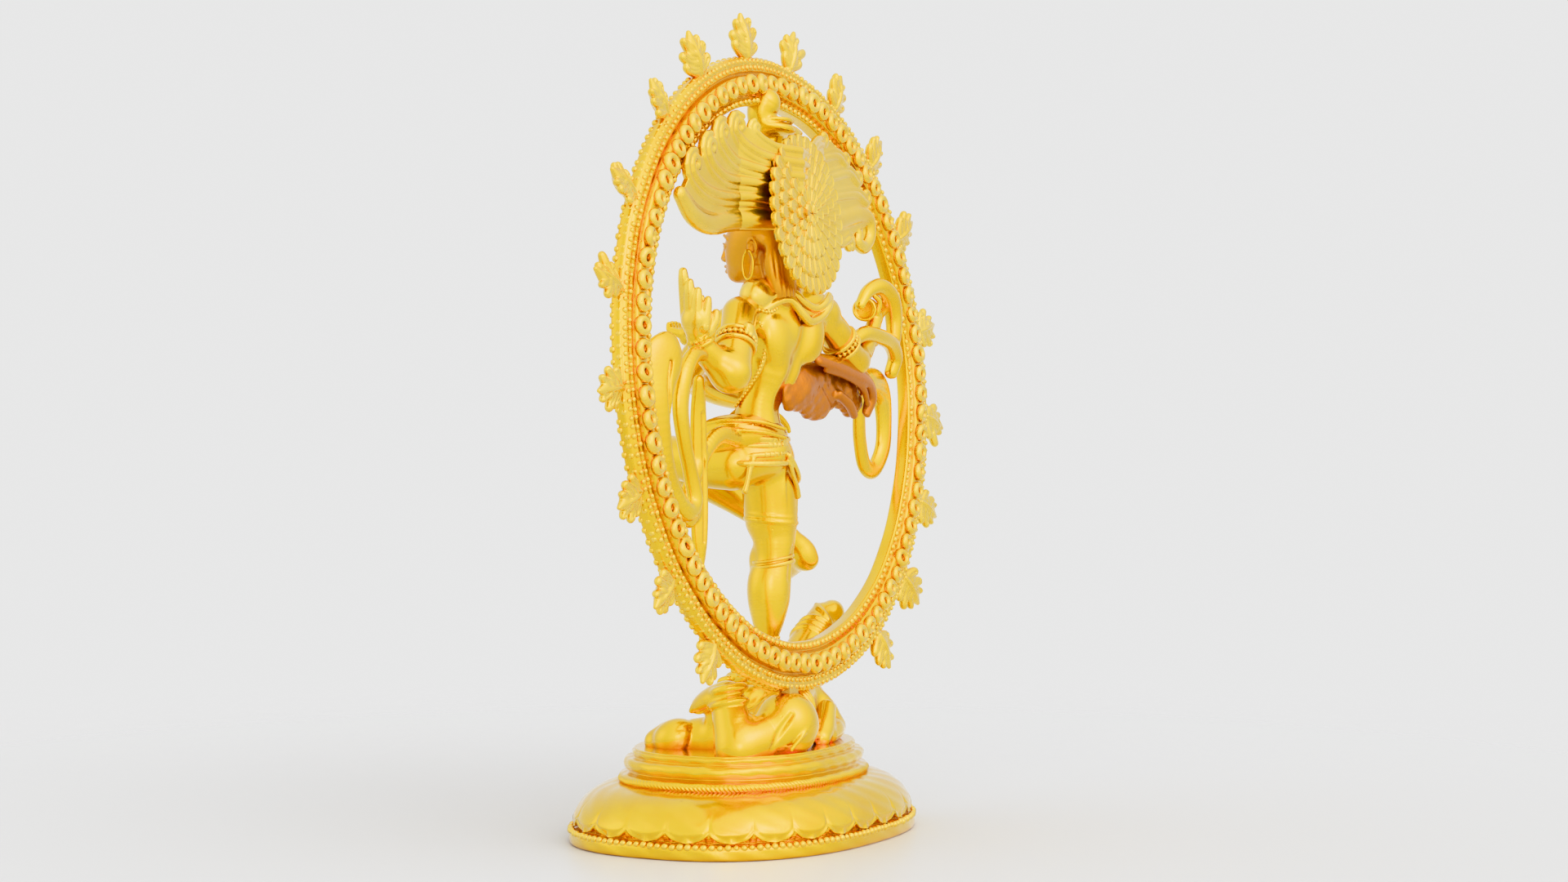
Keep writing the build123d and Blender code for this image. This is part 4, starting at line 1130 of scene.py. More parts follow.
# What the right rear hand holds.
sculpture["right_cobra"] = [
    stroke([(-70, 31, 276, 3.6), (-84, 33, 281, 4.6), (-101, 34, 279.5, 4.8), (-117, 33, 276, 4.8),
            (-128, 31, 268, 4.6), (-127, 29, 259, 4.2)]),
    stroke([(-88, 28, 298, 3.2), (-96, 29, 306, 4.0), (-108, 31, 309, 5.0), (-119, 32, 303, 5.6),
            (-124, 32, 291, 5.2), (-123, 32.5, 279, 4.4)], blend=1.5),
]
DRUM_AXIS = np.array((0.9, 0.35, 0.0)) / math.hypot(0.9, 0.35)
DRUM_MIDDLE = np.array((-101.0, 25.0, 295.5))
# The drum's outline: distance along its axis, then radius.
DRUM_OUTLINE = [(-8, 6.4), (-7, 6.2), (-3, 4.0), (0, 3.0), (3, 4.0), (7, 6.2), (8, 6.4)]


def along_drum(distance):
    """A point of the drum's axis."""
    return tuple(DRUM_MIDDLE + DRUM_AXIS * distance)


sculpture["drum"] = [
    stroke([(*along_drum(distance), radius) for distance, radius in DRUM_OUTLINE]),
    egg(along_drum(13.2), (6.0, 9, 9), turn=(0, 0, 21), blend=0.5, cut=True),
    egg(along_drum(-13.2), (6.0, 9, 9), turn=(0, 0, 21), blend=0.5, cut=True),
    across(along_drum(8), DRUM_AXIS, 6.2, 0.9),
    across(along_drum(-8), DRUM_AXIS, 6.2, 0.9),
    across(along_drum(0), DRUM_AXIS, 3.0, 1.1),
]

# Cloth and ornaments.
sculpture["right_drape"] = [
    rumpled(egg((-44, 24.0, 250), (44, 5.6, 15), turn=(0, 6, 0)), 1.1, 4.2),
    rumpled(egg((-24, 22, 252), (18, 6.0, 12), turn=(0, 12, 0), blend=5), 1.0, 3.9, 0.9),
    rumpled(egg((-76, 25, 245), (17, 5.5, 11), turn=(0, -24, 0), blend=4), 1.0, 3.4, 1.7),
    rumpled(egg((-40, 24, 241), (17, 5.0, 9), turn=(0, 12, 0), blend=4), 1.0, 3.7, 0.6),
    stroke([(-30, 31, 266, 4.5, 2.6), (-50, 33, 263, 6.0, 2.6), (-70, 34, 259, 7.0, 2.8),
            (-84, 34, 254, 6.0, 2.8), (-92, 33, 245, 4.4, 2.6), (-88, 32, 235, 3.0, 2.0)],
           flat=(0, 0.8, 0.6), blend=2.0),
    stroke([(-36, 32.5, 260, 1.6), (-56, 34.5, 256.5, 1.9), (-76, 35.5, 250, 1.9), (-85, 34.5, 240, 1.5)],
           blend=1.4),
    stroke([(-55, 31, 246, 2.6), (-66, 32, 240, 3.0), (-74, 31, 234, 2.4)], blend=2.4),
    groove([(-40, 30.5, 250, 1.6), (-48, 31.5, 242, 1.8), (-56, 31, 236, 1.4)], 2.0),
    groove([(-62, 33, 252, 1.4), (-70, 33, 243, 1.8), (-80, 33, 237, 1.4)], 1.8),
]
sculpture["left_scarf"] = [
    stroke([(110, 13, 271, 9.0, 3.2), (114, 13, 264, 13.0, 3.8), (118, 13, 254, 11.5, 3.6),
            (119, 14, 238, 8.0, 3.2), (113, 14, 213, 5.8, 3.2), (103, 14, 196, 5.0, 3.2),
            (91, 15, 184, 5.4, 3.2), (82, 15, 189, 4.8, 3.2), (85, 14, 204, 4.4, 3.2),
            (92, 14, 222, 4.4, 3.2), (96, 14, 240, 4.8, 3.4), (92, 14, 256, 5.0, 3.6),
            (81, 13, 267, 4.6, 3.8), (70, 13, 268, 3.6, 3.4)], flat=(0.45, 0.89, 0)),
    stroke([(127, 9, 268, 1.2), (129, 10, 256, 1.3), (125.5, 11, 238, 1.2), (117, 12, 213, 1.1),
            (107, 12, 193, 1.1), (91, 13, 178, 1.1)], blend=0.9),
    groove([(112, 17.5, 264, 1.0), (115, 18, 250, 1.1), (112, 18, 230, 1.0), (104, 18, 206, 1.0),
            (94, 18.5, 190, 1.0)], 1.2),
]
sculpture["right_scarf"] = [
    stroke([(-92, 25, 248, 4.5, 3.4), (-104, 24, 253, 7.6, 3.8), (-119, 22, 252, 8.6, 3.8),
            (-132, 20, 244, 7.0, 3.6), (-138, 18.5, 229, 5.8, 3.4), (-137, 18, 213, 5.6, 3.4),
            (-126, 17.5, 201, 5.4, 3.4), (-114, 17.5, 204, 4.8, 3.2), (-106, 18.5, 219, 4.4, 3.2),
            (-102, 20, 236, 4.2, 3.2), (-98, 22, 247, 4.2, 3.2)], flat=(0.3, 0.95, 0)),
    groove([(-106, 27.6, 246, 1.0), (-119, 25.8, 244, 1.1), (-128, 23.6, 237, 1.1), (-132, 22.2, 224, 1.0),
            (-130, 21.6, 211, 1.0)], 1.2),
]
sculpture["sash"] = [
    stroke([(23, -16, 219, 10.5), (20, -2, 223, 11.5), (11, 9, 224, 11.5), (-2, 13, 222, 11.0),
            (-12, 11, 221, 9.0)]),
    stroke([(31, -12, 229, 1.1), (27, 4, 232, 1.2), (17, 19, 231, 1.2), (2, 26.5, 227, 1.1)], blend=0.7),
    stroke([(32.5, -12, 223, 1.1), (29.5, 4, 226.5, 1.2), (19, 20.5, 225.5, 1.2), (2, 27, 222, 1.1)],
           blend=0.7),
    stroke([(66, 8, 254, 3.2, 2.4), (63, 6, 238, 4.6, 2.6), (61, 5, 214, 5.2, 2.8), (60, 5, 188, 5.2, 2.8),
            (60, 5, 166, 4.6, 2.6), (59, 5, 150, 1.6, 1.6)], flat=(0.5, 0.86, 0)),
    stroke([(25, 9, 222, 4.5, 2.6), (40, 7, 224, 5.0, 2.6), (54, 6, 217, 5.0, 2.6), (66, 5, 202, 4.6, 2.6),
            (74, 4, 188, 4.4, 2.6), (70, 4, 178, 4.0, 2.4), (62, 5, 184, 3.4, 2.2)], flat=(0.5, 0.86, 0),
           blend=1.2),
    groove([(62.5, 8.4, 236, 0.8), (60.5, 7.9, 212, 0.9), (59.5, 7.9, 188, 0.9),
            (59.5, 7.7, 166, 0.8)], 1.0),
]
sculpture["necklace"] = [
    stroke([(14, 19, 297, 2.2), (6, 23.0, 302, 2.6), (-4, 27.5, 303.5, 2.6), (-12, 31, 297.5, 2.6),
            (-21, 33.5, 294.5, 2.5), (-30, 35, 298, 2.5), (-38, 33, 302, 2.2)]),
    stroke([(14, 20.5, 293, 2.0), (6, 25.0, 298, 2.3), (-1, 29, 298.5, 2.3), (-8, 33, 290.5, 2.5),
            (-14, 34.5, 287, 2.5), (-24, 35.5, 289.5, 2.4), (-33, 36.0, 296, 2.3), (-40, 33, 301, 2.0)],
           blend=0.8),
    stroke([(2, 24, 301, 3.0, 1.5), (-10, 29, 295, 3.6, 1.5), (-22, 32.5, 292.5, 3.2, 1.5),
            (-34, 33.5, 299, 2.6, 1.5)], flat=(0.2, 1, 0.2), blend=0.8),
    egg((11.5, 14, 301), (11.5, 9.5, 10.5), turn=(0, 18, 0), blend=1.5),
    beads_along([(22, 16, 295), (18, 21, 292.5), (11, 23, 292), (4, 24, 295)], 1.2, 2.3, blend=0.3),
    stroke([(18, 15.5, 296, 1.2), (12, 19.4, 296.5, 1.2), (5, 19.5, 300, 1.2)], blend=0.8),
    stroke([(12, 5, 300, 2.0), (3, 0.5, 292, 2.2), (-6, -0.5, 288, 2.4), (-16, 4, 291, 2.2),
            (-24, 12, 299, 2.0)], blend=0.8),
    beads_along([(15, 4, 296), (5, -2.5, 284), (-6, -3.5, 279), (-18, 1, 283), (-30, 12, 295)], 1.7, 3.3,
                blend=0.3),
    egg((-6, -5, 276), (3.2, 2.2, 4.0), blend=0.6),
    beads_along([(18, 16.5, 290), (14.5, 20.5, 280), (13.5, 20, 270), (13.5, 16, 259), (13.5, 9, 249),
                 (12.5, 1, 240)], 1.15, 2.3, blend=0.3),
    stroke([(16.5, 17.5, 290, 0.9), (13, 21.5, 280, 1.0), (12, 20.5, 270, 1.0), (12.3, 16.4, 259, 1.0),
            (12.4, 9, 249, 0.9), (11.5, 1, 240, 0.8)], blend=0.5),
]
sculpture["waist_belt"] = [
    hoop((0, 7.2, 221.5), (18.5, 16.2), 2.6, tilt=(0.04, -0.03), blend=1.0),
    hoop((0, 7.0, 217.0), (20.6, 17.2), 1.6, tilt=(0.02, 0.05)),
    hoop((0, 6.8, 213.0), (22.4, 18.0), 1.6, tilt=(-0.04, 0.02)),
    hoop((1, 6.6, 208.8), (24.0, 18.6), 1.9, tilt=(-0.02, -0.05)),
    stroke([(19, 16, 212, 1.9), (22, 15.5, 206, 1.7), (23.5, 14.5, 198, 1.5), (24.5, 13.5, 193, 1.9)],
           blend=0.8),
    stroke([(-3, 26.5, 212, 1.7), (-9, 27.0, 206, 1.5), (-16, 25.5, 200, 1.5), (-22, 21, 197, 1.7),
            (-27, 14, 200, 1.6), (-28, 8, 205, 1.5)], blend=0.8),
    stroke([(-3, 26.5, 211, 1.3), (-8, 26.5, 201, 1.3), (-14, 25.5, 194, 1.5), (-17, 24.5, 189, 1.9)],
           blend=0.8),
    egg((1, -12, 218), (5.5, 3.5, 5.0), blend=1.0),
    stroke([(-4, -12, 214, 3.4, 2.2), (-8, -12, 204, 3.6, 2.2), (-12, -10, 195, 2.6, 1.8)], flat=(0, 1, 0),
           blend=1.5),
]
for k in range(7):
    shift = 3.2 * k
    pleat = [(3 + shift, 24.6 - 0.30 * k * k * 0.62, 221.5 - 0.2 * k, 0.55),
             (2 + shift, 25.4 - 0.2 * k * k, 212 - 0.2 * k, 0.6)]
    sculpture["waist_belt"].append(groove(pleat, 0.6))
sculpture["armlets"] = [
    across((36.5, 15, 277.5), (0.55, 0.2, -0.75), 10.4, 1.5),
    bead_band((38.5, 15.6, 275), (0.55, 0.2, -0.75), 10.8, 1.5, 3.0),
    across((40.5, 16.3, 272.2), (0.55, 0.2, -0.75), 10.9, 1.3),
    egg((38, 24, 281), (4.2, 3.0, 5.6), turn=(0, 35, 0), blend=0.8),
    across((-58, 29.4, 277), (-0.75, 0.15, -0.65), 9.8, 1.5),
    bead_band((-60.4, 29.9, 275), (-0.75, 0.15, -0.65), 9.9, 1.4, 2.9),
    across((-62.6, 30.4, 273), (-0.75, 0.15, -0.65), 9.9, 1.2),
    across((17.5, -9, 279.5), (0, -0.8, -0.6), 9.8, 1.4),
    bead_band((17, -11.5, 277.6), (0, -0.8, -0.6), 9.8, 1.3, 2.8),
    across((-43, 6, 277), (-0.5, -0.5, -0.65), 9.9, 1.4),
    bead_band((-45, 4, 274.5), (-0.5, -0.5, -0.65), 9.9, 1.3, 2.8),
]
sculpture["anklets"] = [
    hoop((-10.6, 12.2, 150.5), (11.4, 11.4), 1.3, tilt=(-0.10, 0.14)),
    hoop((-10.6, 12.2, 153.5), (11.2, 11.2), 0.9, tilt=(-0.10, 0.14)),
    stroke([(-15, 22.5, 152.5, 1.0), (-20, 17, 149, 1.2), (-21.5, 12, 144.5, 0.9)], blend=0.6),
    hoop((-5, 11.5, 107.5), (6.4, 6.4), 1.3),
    bead_band((-5, 11.5, 105), (0, 0, 1), 6.6, 1.3, 2.7),
    bead_band((-5, 11.5, 109.6), (0, 0, 1), 6.4, 1.0, 2.2),
]
sculpture["earrings"] = []
for side in (-1, 1):
    loop = []
    for turn in np.linspace(*WHOLE_TURN, 15):
        x = side * (18.2 + 1.2 * math.sin(turn))
        loop.append((x, 12 + 4.0 * math.sin(turn), 318 + 8.0 * math.cos(turn), 0.62))
    sculpture["earrings"] += [stroke(loop, per_span=3), egg((side * 18.2, 12, 326), (3.4, 0.9, 0.9),
                                                            blend=0.6)]

# Hair fans: a thin sheet, a thick lower edge, and locks on top. All lie in one plane until they are bent.
sculpture["hair_fan_left"] = [
    plate([(-12, 341), (48, 338), (80, 334), (98, 338), (112, 350), (104, 360), (93, 370), (82, 380),
           (66, 388), (50, 395), (40, 391), (25, 385), (-10, 383)], HAIR_PLANE, 1.6),
    stroke([(-12, 22, 343, 5.6, 4.0), (50, 22, 341, 6.0, 4.2), (78, 22, 338, 6.2, 4.4),
            (97, 22, 342, 5.8, 4.4), (110, 22, 352, 4.4, 3.4)], flat=(0, 1, 0), blend=1.5),
]
for path, width, curl in (
    ([(-12, 352), (12, 352), (38, 354), (66, 353.5), (84, 356), (95, 361), (99, 365)], 4.3, 5.6),
    ([(-12, 359), (12, 360), (38, 362), (62, 363.5), (76, 369), (82, 375)], 4.3, 5.4),
    ([(-12, 367), (12, 367.5), (36, 370), (54, 374), (66, 381), (69, 385)], 4.2, 5.0),
    ([(-12, 374), (8, 375), (28, 377), (43, 382), (52, 389), (53, 391)], 4.0, 4.4),
    ([(-12, 381), (4, 381.5), (18, 382.5), (29, 386), (36, 390)], 3.0, 2.4),
):
    sculpture["hair_fan_left"] += lock(path, width, curl)
sculpture["hair_fan_right"] = [
    plate([(-4, 341), (-40, 339), (-84, 338), (-104, 344), (-113, 350), (-106, 358), (-92, 371), (-79, 381),
           (-61, 391), (-48, 392), (-30, 386), (-4, 383)], HAIR_PLANE, 1.6),
    stroke([(-6, 22, 343, 5.0, 3.6), (-40, 22, 343, 5.4, 3.8), (-70, 22, 346, 5.6, 4.0),
            (-96, 22, 351, 5.4, 4.2), (-109, 22, 349, 5.0, 4.2), (-111, 22, 339, 4.8, 4.0),
            (-104, 22, 332.5, 4.4, 3.8), (-96, 22, 335, 3.8, 3.4), (-96, 22, 340, 3.0, 3.0)],
           flat=(0, 1, 0), blend=1.5),
]
for path, width, curl in (
    ([(-6, 352), (-40, 356), (-70, 360), (-92, 362), (-104, 358)], 3.8, -4.4),
    ([(-8, 361), (-36, 366), (-62, 371), (-82, 374), (-93, 369)], 3.8, -4.2),
    ([(-8, 369), (-30, 374), (-52, 381), (-68, 383), (-77, 379)], 3.6, -4.0),
    ([(-8, 377), (-24, 382), (-40, 388), (-52, 389)], 3.4, -3.4),
    ([(-34, 336), (-56, 334), (-74, 333), (-83, 336)], 3.6, 3.4),
):
    sculpture["hair_fan_right"] += lock(path, width, curl)

# The dwarf lies face down with one shin up behind, near the aureole's foot.
sculpture["dwarf_body"] = [
    egg((23, 39, 65), (18.0, 17.5, 17.8)),
    stroke([(23, 38, 64, 15.5), (4, 27, 66, 16), (-20, 16, 73, 16), (-42, 11, 86, 13.5),
            (-54, 10, 96, 10.5)], blend=5),
    stroke([(2, 24, 59, 16), (-26, 12, 62, 16), (-46, 9, 66, 13)], blend=5),
    egg((11, 11, 69), (14, 13, 15.5), blend=5),
    stroke([(34, 34, 60, 13), (46, 28, 57, 13), (51, 24, 55, 12.5)], blend=4),
    stroke([(51, 24, 54, 13), (49.5, 20.5, 63, 11.6), (47, 16.5, 73, 9.8), (45.5, 14, 81, 8.6)], blend=3),
    stroke([(46, 15, 81, 8.4, 7.4), (45, 9, 81, 9.0, 7.0), (43.5, 3, 79, 8.4, 6.4),
            (42.5, -2, 76.5, 7.2, 5.4), (42, -5, 74.5, 5.4, 4.4)], flat=(0.25, -0.35, 0.9), blend=2.0),
    across((45.3, 15, 84.5), (-0.1, -0.3, 1), 8.6, 2.4, blend=1.5),
    across((46.0, 15.5, 77.0), (-0.1, -0.3, 1), 9.6, 2.0, blend=1.5),
    stroke([(18, 30, 60, 14), (28, 8, 57, 13), (33, -12, 55, 11.5)], blend=4),
    egg((41, -21, 56), (11.0, 13.0, 10.5), turn=(18, -12, 24), blend=1.0),
    egg((37, -28, 54.5), (11.0, 9.0, 9.5), turn=(-14, 18, 40), blend=0.8),
    groove([(50, -3, 68, 1.6), (53, -4, 60, 2.4), (54, -4, 50, 2.2)], 1.2),
    stroke([(38, 3, 74, 5.4), (36, 1, 64, 6.6), (35, -2, 54, 7.6)], blend=2.0),
    stroke([(40, -34, 53, 7), (28, -36, 54, 6.0), (12, -34, 55, 5.2), (2, -32, 54.5, 4.6)], blend=3),
    stroke([(-34, 17, 77, 9.5), (-42, 26, 66, 8.8), (-42, 33, 57, 7.6)], blend=4),
    stroke([(-42, 34, 57, 6.6), (-33, 39, 56, 5.8), (-22, 42, 54.5, 4.8)], blend=2.5),
    stroke([(-30, 36, 68, 5.5), (-20, 40, 60, 6.0), (-12, 42, 54, 5.5)], blend=2.0),
    stroke([(-42, 2, 84, 9), (-54, -12, 70, 8), (-58, -20, 58, 7)], blend=4),
    stroke([(-58, -20, 57, 6.5), (-48, -26, 55, 5.5), (-36, -28, 55, 4.6)], blend=2.5),
    stroke([(8, 44.0, 74, 1.2), (20, 52, 69, 1.3), (32, 54.0, 61, 1.3), (37, 49.5, 53, 1.2)], blend=1.2),
    groove([(36, 49, 72, 1.0), (42, 45, 63, 1.5), (46, 43, 54, 1.2)], 1.8),
    groove([(56, 20, 50, 1.0), (55, 12, 58, 0.9), (52, 9, 68, 0.7)], 2.0),
] + [finger([(46 - 2.8 * i, -4.5 - 0.3 * i, 75.5), (45.6 - 2.8 * i, -7 - 0.3 * i, 74),
             (45.2 - 2.7 * i, -8.6, 72.0)], 2.3)
     for i in range(4)]
for place, rise in (((0, 25, 67), 0.12), ((-5, 23, 68), 0.14), ((-9, 21, 69), 0.16)):
    sculpture["dwarf_body"].append(across(place, (-0.9, -0.4, rise), 16.2, 1.3))
sculpture["dwarf_head"] = [
    stroke([(-46, 10.5, 93, 11.5), (-56, 9.5, 100, 11.2), (-66, 8.5, 106, 10.4), (-74, 7.5, 110, 9.6)]),
    egg((-83, 6.5, 112.5), (12.0, 9.6, 11.5), turn=(0, 26, 0), blend=4),
    egg((-91, 5, 107), (7.0, 7, 7.5), blend=5),
    egg((-86, 9.0, 115.5), (11.5, 8.2, 8.5), turn=(0, 38, 0), blend=1.0),
    egg((-79, -3, 110.5), (4.2, 1.9, 5.6), turn=(0, 30, 0), blend=0.8),
    stroke([(-97, 4, 105, 1.3), (-98.4, 4, 102.5, 1.7)], blend=1.5),
    stroke([(-94, 8, 108, 1.1), (-95.5, 6.4, 108.6, 0.9)], blend=0.8),
    stroke([(-94, 0.5, 108, 1.1), (-95.5, 2.2, 108.6, 0.9)], blend=0.8),
    stroke([(-81, 3, 122.5, 1.6), (-74.5, 9, 120, 1.9), (-72.5, 15, 114.5, 1.9), (-75.5, 16.5, 107.5, 1.5)],
           blend=0.9),
]
for k, x in enumerate((-60.5, -65.5, -70.5)):
    place = (x, 9.1 - 0.4 * k, 103.0 + 2.6 * k)
    sculpture["dwarf_head"].append(across(place, (-0.85, -0.1, 0.52), 10.9 - 0.3 * k, 1.5, blend=1.5))


# ------------------------------------------------------------------ casting the figure
# A piece is blended into the ones it touches, and ends where they begin.
TOUCHING = {
    "torso": ("head", "standing_leg", "raised_leg", "left_rear_arm", "left_front_arm", "right_rear_arm",
              "right_front_arm"),
    "head": ("torso", "crown"),
    "crown": ("head",),
    "standing_leg": ("torso", "raised_leg", "dwarf_body"),
    "raised_leg": ("torso", "standing_leg"),
    "left_rear_arm": ("torso", "palm_flame"),
    "palm_flame": ("left_rear_arm",),
    "left_front_arm": ("torso",),
    "right_rear_arm": ("torso",),
    "right_front_arm": ("torso",),
    "dwarf_body": ("dwarf_head", "standing_leg"),
    "dwarf_head": ("dwarf_body",),
}
HAIR_FANS = ("hair_fan_left", "hair_fan_right")
RELIEF_PIECES = (*HAIR_FANS, "necklace", "armlets", "anklets", "palm_flame", "waist_belt")
FINE_PIECES = (*RELIEF_PIECES, "head", "crown", "earrings", "drum")
ORNAMENTS = ("earrings", "necklace", "waist_belt", "armlets", "anklets", "crown", "nape_disc")
# The drape and the head get the darker copies of the brass: painted shade.
PAINTED_SHADE_METAL = {"right_drape": DRAPE_SHADE_BRASS, "head": PAINTED_SHADE_BRASS}


def slot_of(node):
    """The slot that a piece of the figure belongs to."""
    if node in ORNAMENTS:
        return "brass_ornament"
    return "brass_dwarf" if node.startswith("dwarf") else "brass_figure"


def bent_back(points):
    """Points of a hair fan, bent to the back towards its inner end."""
    share = np.clip((FAN_BEND_START - np.abs(points[:, 0])) / FAN_BEND_START, 0, 1)
    return points + FAN_BEND * share[:, None] * np.array([0, 1, 0])


def cast(node):
    """Turn one piece's forms into a mesh on the root body."""
    neighbours = [form for name in TOUCHING.get(node, ()) for form in sculpture[name]]
    step = FINE_STEP if node in FINE_PIECES else SCULPT_STEP
    points, faces = sculpt(sculpture[node], neighbours, step)
    if node in HAIR_FANS:
        points = bent_back(points)
    # Relief pieces get the paler copy, a painted highlight. The drape and the head get painted shade.
    usual = RELIEF_HIGHLIGHT_BRASS if node in RELIEF_PIECES else FIGURE_BRASS
    metal = PAINTED_SHADE_METAL.get(node, usual)
    make_mesh(node + "_cast", points, faces.tolist(), metal, "root", slot_of(node), [node])


for node in sculpture:
    cast(node)


# ------------------------------------------------------------------ disc behind the head
DISC_RADIUS = 44.0
DISC_ROWS = [(DISC_RADIUS, 30, 3.6), (35.0, 26, 3.6), (25.5, 20, 3.6), (16.0, 12, 3.2), (7.5, 6, 2.0)]
DISC_WIDTH = 0.92
DISC_TALL = 1.03
DISC_CENTRE = np.array([-6.0, 36.5, 346.5])
DISC_LEAN = math.radians(7)
DISC_STEP = 0.65  # how much higher each row lies than the one outside it


def disc_front(turn, radius):
    """Height of the rows of petals, each row given by its outer radius, count and depth of scallop."""
    height = np.zeros((len(radius), len(turn)))
    for level, (edge, count, depth) in enumerate(DISC_ROWS):
        u = (turn * count + 0.5 * (level % 2)) % 1 - 0.5
        side = np.abs(u) * 2
        tip = edge - depth * side**3
        on_row = 1 - ramp_up(radius, tip - 0.5, tip + 0.1)
        border = 0.30 * np.maximum(bump(side, 0.84, 0.13), bump(radius, tip - 1.2, 0.6))
        crease = 0.35 * bump(side, 1.0, 0.09)
        vein = 0.15 * bump(u, 0, 0.05) * (1 - ramp_up(radius, tip - 4.0, tip - 2.5))
        slope = np.clip(0.05 * (radius - tip), -0.5, 0.1)
        layer = 1.0 + DISC_STEP * level + border - crease + vein + slope
        height = np.where(on_row > 0.01, np.maximum(height, layer * on_row), height)
    return height


def placed_on_disc(turn, reach, height):
    """Points at a reach from the disc's middle and a height above its leaning plane."""
    out = np.array([0, math.cos(DISC_LEAN), math.sin(DISC_LEAN)])
    up = np.array([0, -math.sin(DISC_LEAN), math.cos(DISC_LEAN)])
    x = DISC_WIDTH * reach * np.cos(2 * np.pi * turn)
    z = DISC_TALL * reach * np.sin(2 * np.pi * turn)
    points = DISC_CENTRE + x[..., None] * np.array([1, 0, 0]) + z[..., None] * up + height[..., None] * out
    return points.reshape(-1, 3)


def build_disc():
    """A round shield of overlapping petals. Its plane leans a little, like the aureole."""
    around, radial = ((840, 220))
    turn = np.arange(around) / around
    radius = np.linspace(0.2, DISC_RADIUS, radial)[:, None]
    front = disc_front(turn, radius)
    back = -1.6 + 0.5 * np.cos(radius / DISC_RADIUS * math.pi * 5) * bump(radius, 22, 18) + 0 * front
    _, rim_petals, rim_depth = DISC_ROWS[0]
    rim = DISC_RADIUS - rim_depth * (2 * np.abs((turn * rim_petals) % 1 - 0.5)) ** 3
    reach = np.minimum(radius, rim[None, :])
    points = np.vstack([placed_on_disc(turn, reach, front), placed_on_disc(turn, reach, back)])
    ring = np.arange(around)
    total = radial * around
    faces = []
    for a, b in pairwise(np.arange(radial) * around):
        faces.append(belt(a + ring, b + ring, flip=True))
        faces.append(belt(total + a + ring, total + b + ring))
    edge = total - around + ring
    faces.append(belt(edge, total + edge, flip=True))
    faces = np.vstack(faces).tolist()
    faces.append(ring[::-1].tolist())
    faces.append((total + ring).tolist())
    return points, faces


make_mesh("nape_disc_cast", *build_disc(), RELIEF_HIGHLIGHT_BRASS, "root", "brass_ornament", ["nape_disc"])


# ------------------------------------------------------------------ carried-over metal
STEEL_PIECES = ("plate_screws", "dwarf_studs", "dwarf_washers", "dwarf_nuts")
for node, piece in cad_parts.items():
    piece.data.materials.clear()
    piece.data.materials.append(STEEL if node in STEEL_PIECES else SHEET_BRASS)

# ------------------------------------------------------------------ stage
BACKDROP = 0.86
FLOOR_TONE = 0.70
FLOOR_ROUGHNESS = 0.35
FLOOR_SHINE = 0.15
FLOOR_REACH = 6.0
FLOOR_FADE = (0.25, 0.9)  # the floor melts into the backdrop between these distances
FILL_LIGHT = 0.80
# Patches of light in the world: the direction each shines from, how tight it is, and its strength.
LAMPS = [
    ((0.25, 0.80, 0.62), 3, 0.9),
    ((0.25, 0.80, 0.62), 24, 1.8),
    ((0.0, 0.0, 1.0), 4, 0.25),
    ((0.80, 0.60, 0.18), 70, 2.2),
    ((0.95, 0.30, 0.15), 5, 0.25),
    ((0.6, -0.8, 0.4), 12, 0.5),
]
CAMERA_PLACE = (1.4979, 0.8312, 0.2541)
CAMERA_AIM = Vector((-0.0130, 0.0179, 0.2199))
CAMERA_LENS = 70
CAMERA_CLIP = 0.01


def floor_paint():
    """Pale matt paint that turns clear away from the object, so no horizon shows."""
    material = bpy.data.materials.new("pale_floor")
    material.use_nodes = True
    nodes, links = material.node_tree.nodes, material.node_tree.links
    shader = nodes["Principled BSDF"]
    put(links, shader.inputs["Base Color"], (FLOOR_TONE, FLOOR_TONE, FLOOR_TONE))
    put(links, shader.inputs["Roughness"], FLOOR_ROUGHNESS)
    put(links, shader.inputs["Specular IOR Level"], FLOOR_SHINE)
    distance = nodes.new("ShaderNodeVectorMath")
    distance.operation = "LENGTH"
    links.new(nodes.new("ShaderNodeTexCoord").outputs["Object"], distance.inputs[0])
    fade = nodes.new("ShaderNodeMapRange")
    fade.interpolation_type = "SMOOTHSTEP"
    near, far = FLOOR_FADE
    for label, value in (("From Min", near), ("From Max", far), ("To Min", 1.0), ("To Max", 0.0)):
        put(links, fade.inputs[label], value)
    links.new(distance.outputs["Value"], fade.inputs["Value"])
    links.new(fade.outputs["Result"], shader.inputs["Alpha"])
    return material


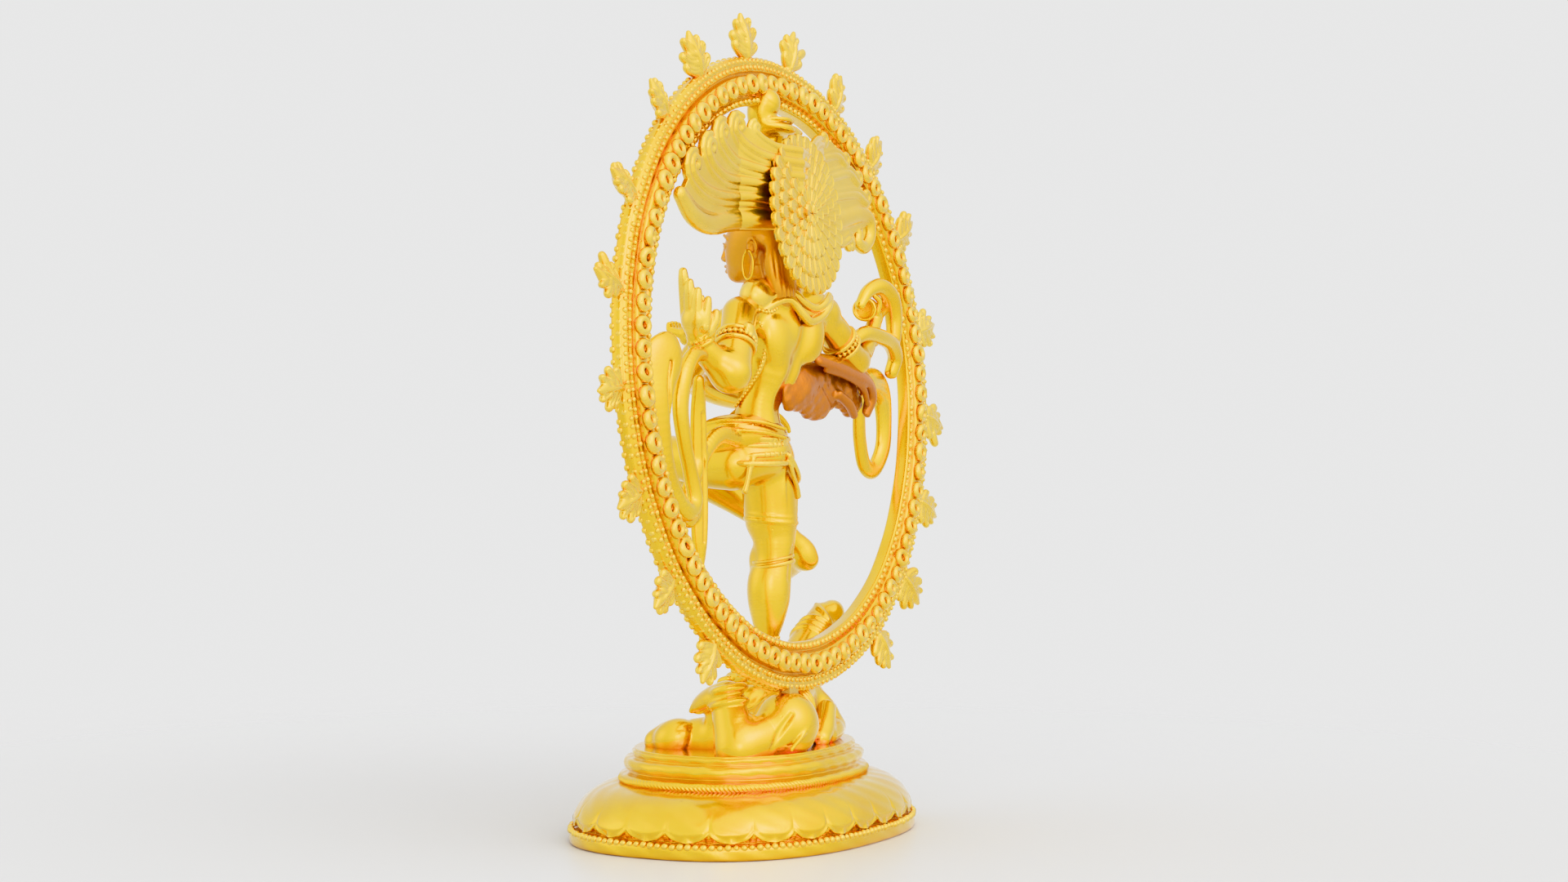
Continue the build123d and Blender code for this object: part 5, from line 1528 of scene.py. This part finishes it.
def build_floor():
    """A plain square on the ground."""
    mesh = bpy.data.meshes.new("floor")
    corners = [(-FLOOR_REACH, -FLOOR_REACH), (FLOOR_REACH, -FLOOR_REACH), (FLOOR_REACH, FLOOR_REACH),
               (-FLOOR_REACH, FLOOR_REACH)]
    mesh.from_pydata([(x, y, 0) for x, y in corners], [], [(0, 1, 2, 3)])
    mesh.materials.append(floor_paint())
    floor = bpy.data.objects.new("floor", mesh)
    bpy.context.scene.collection.objects.link(floor)


def studio_world(backdrop, base, lamps):
    """An even backdrop for the camera, and large soft lamps, as directions, for everything else."""
    world = bpy.data.worlds.new("studio")
    world.use_nodes = True
    nodes, links = world.node_tree.nodes, world.node_tree.links
    direction = nodes.new("ShaderNodeTexCoord").outputs["Generated"]

    def calculate(kind, a, b):
        node = nodes.new("ShaderNodeMath")
        node.operation = kind
        for socket, value in zip(node.inputs, (a, b)):
            put(links, socket, value)
        return node.outputs[0]

    total = base
    for towards, tightness, strength in lamps:
        facing = nodes.new("ShaderNodeVectorMath")
        facing.operation = "DOT_PRODUCT"
        facing.inputs[1].default_value = Vector(towards).normalized()
        links.new(direction, facing.inputs[0])
        lobe = calculate("POWER", calculate("MAXIMUM", facing.outputs["Value"], 0.0), tightness)
        total = calculate("ADD", total, calculate("MULTIPLY", lobe, strength))
    seen = nodes.new("ShaderNodeLightPath").outputs["Is Camera Ray"]
    kept = calculate("MULTIPLY", calculate("SUBTRACT", 1.0, seen), total)
    shown = calculate("MULTIPLY", seen, backdrop)
    put(links, nodes["Background"].inputs["Color"], WHITE)
    put(links, nodes["Background"].inputs["Strength"], calculate("ADD", kept, shown))
    return world


def build_camera():
    """The camera, at the photograph's viewing angle."""
    data = bpy.data.cameras.new("camera")
    data.lens = CAMERA_LENS
    data.clip_start = CAMERA_CLIP
    camera = bpy.data.objects.new("camera", data)
    camera.location = CAMERA_PLACE
    camera.rotation_euler = (CAMERA_AIM - camera.location).to_track_quat("-Z", "Y").to_euler()
    bpy.context.scene.collection.objects.link(camera)
    return camera


build_floor()
bpy.context.scene.world = studio_world(BACKDROP, FILL_LIGHT, LAMPS)
bpy.context.scene.camera = build_camera()
bpy.context.scene.view_settings.view_transform = "Khronos PBR Neutral"
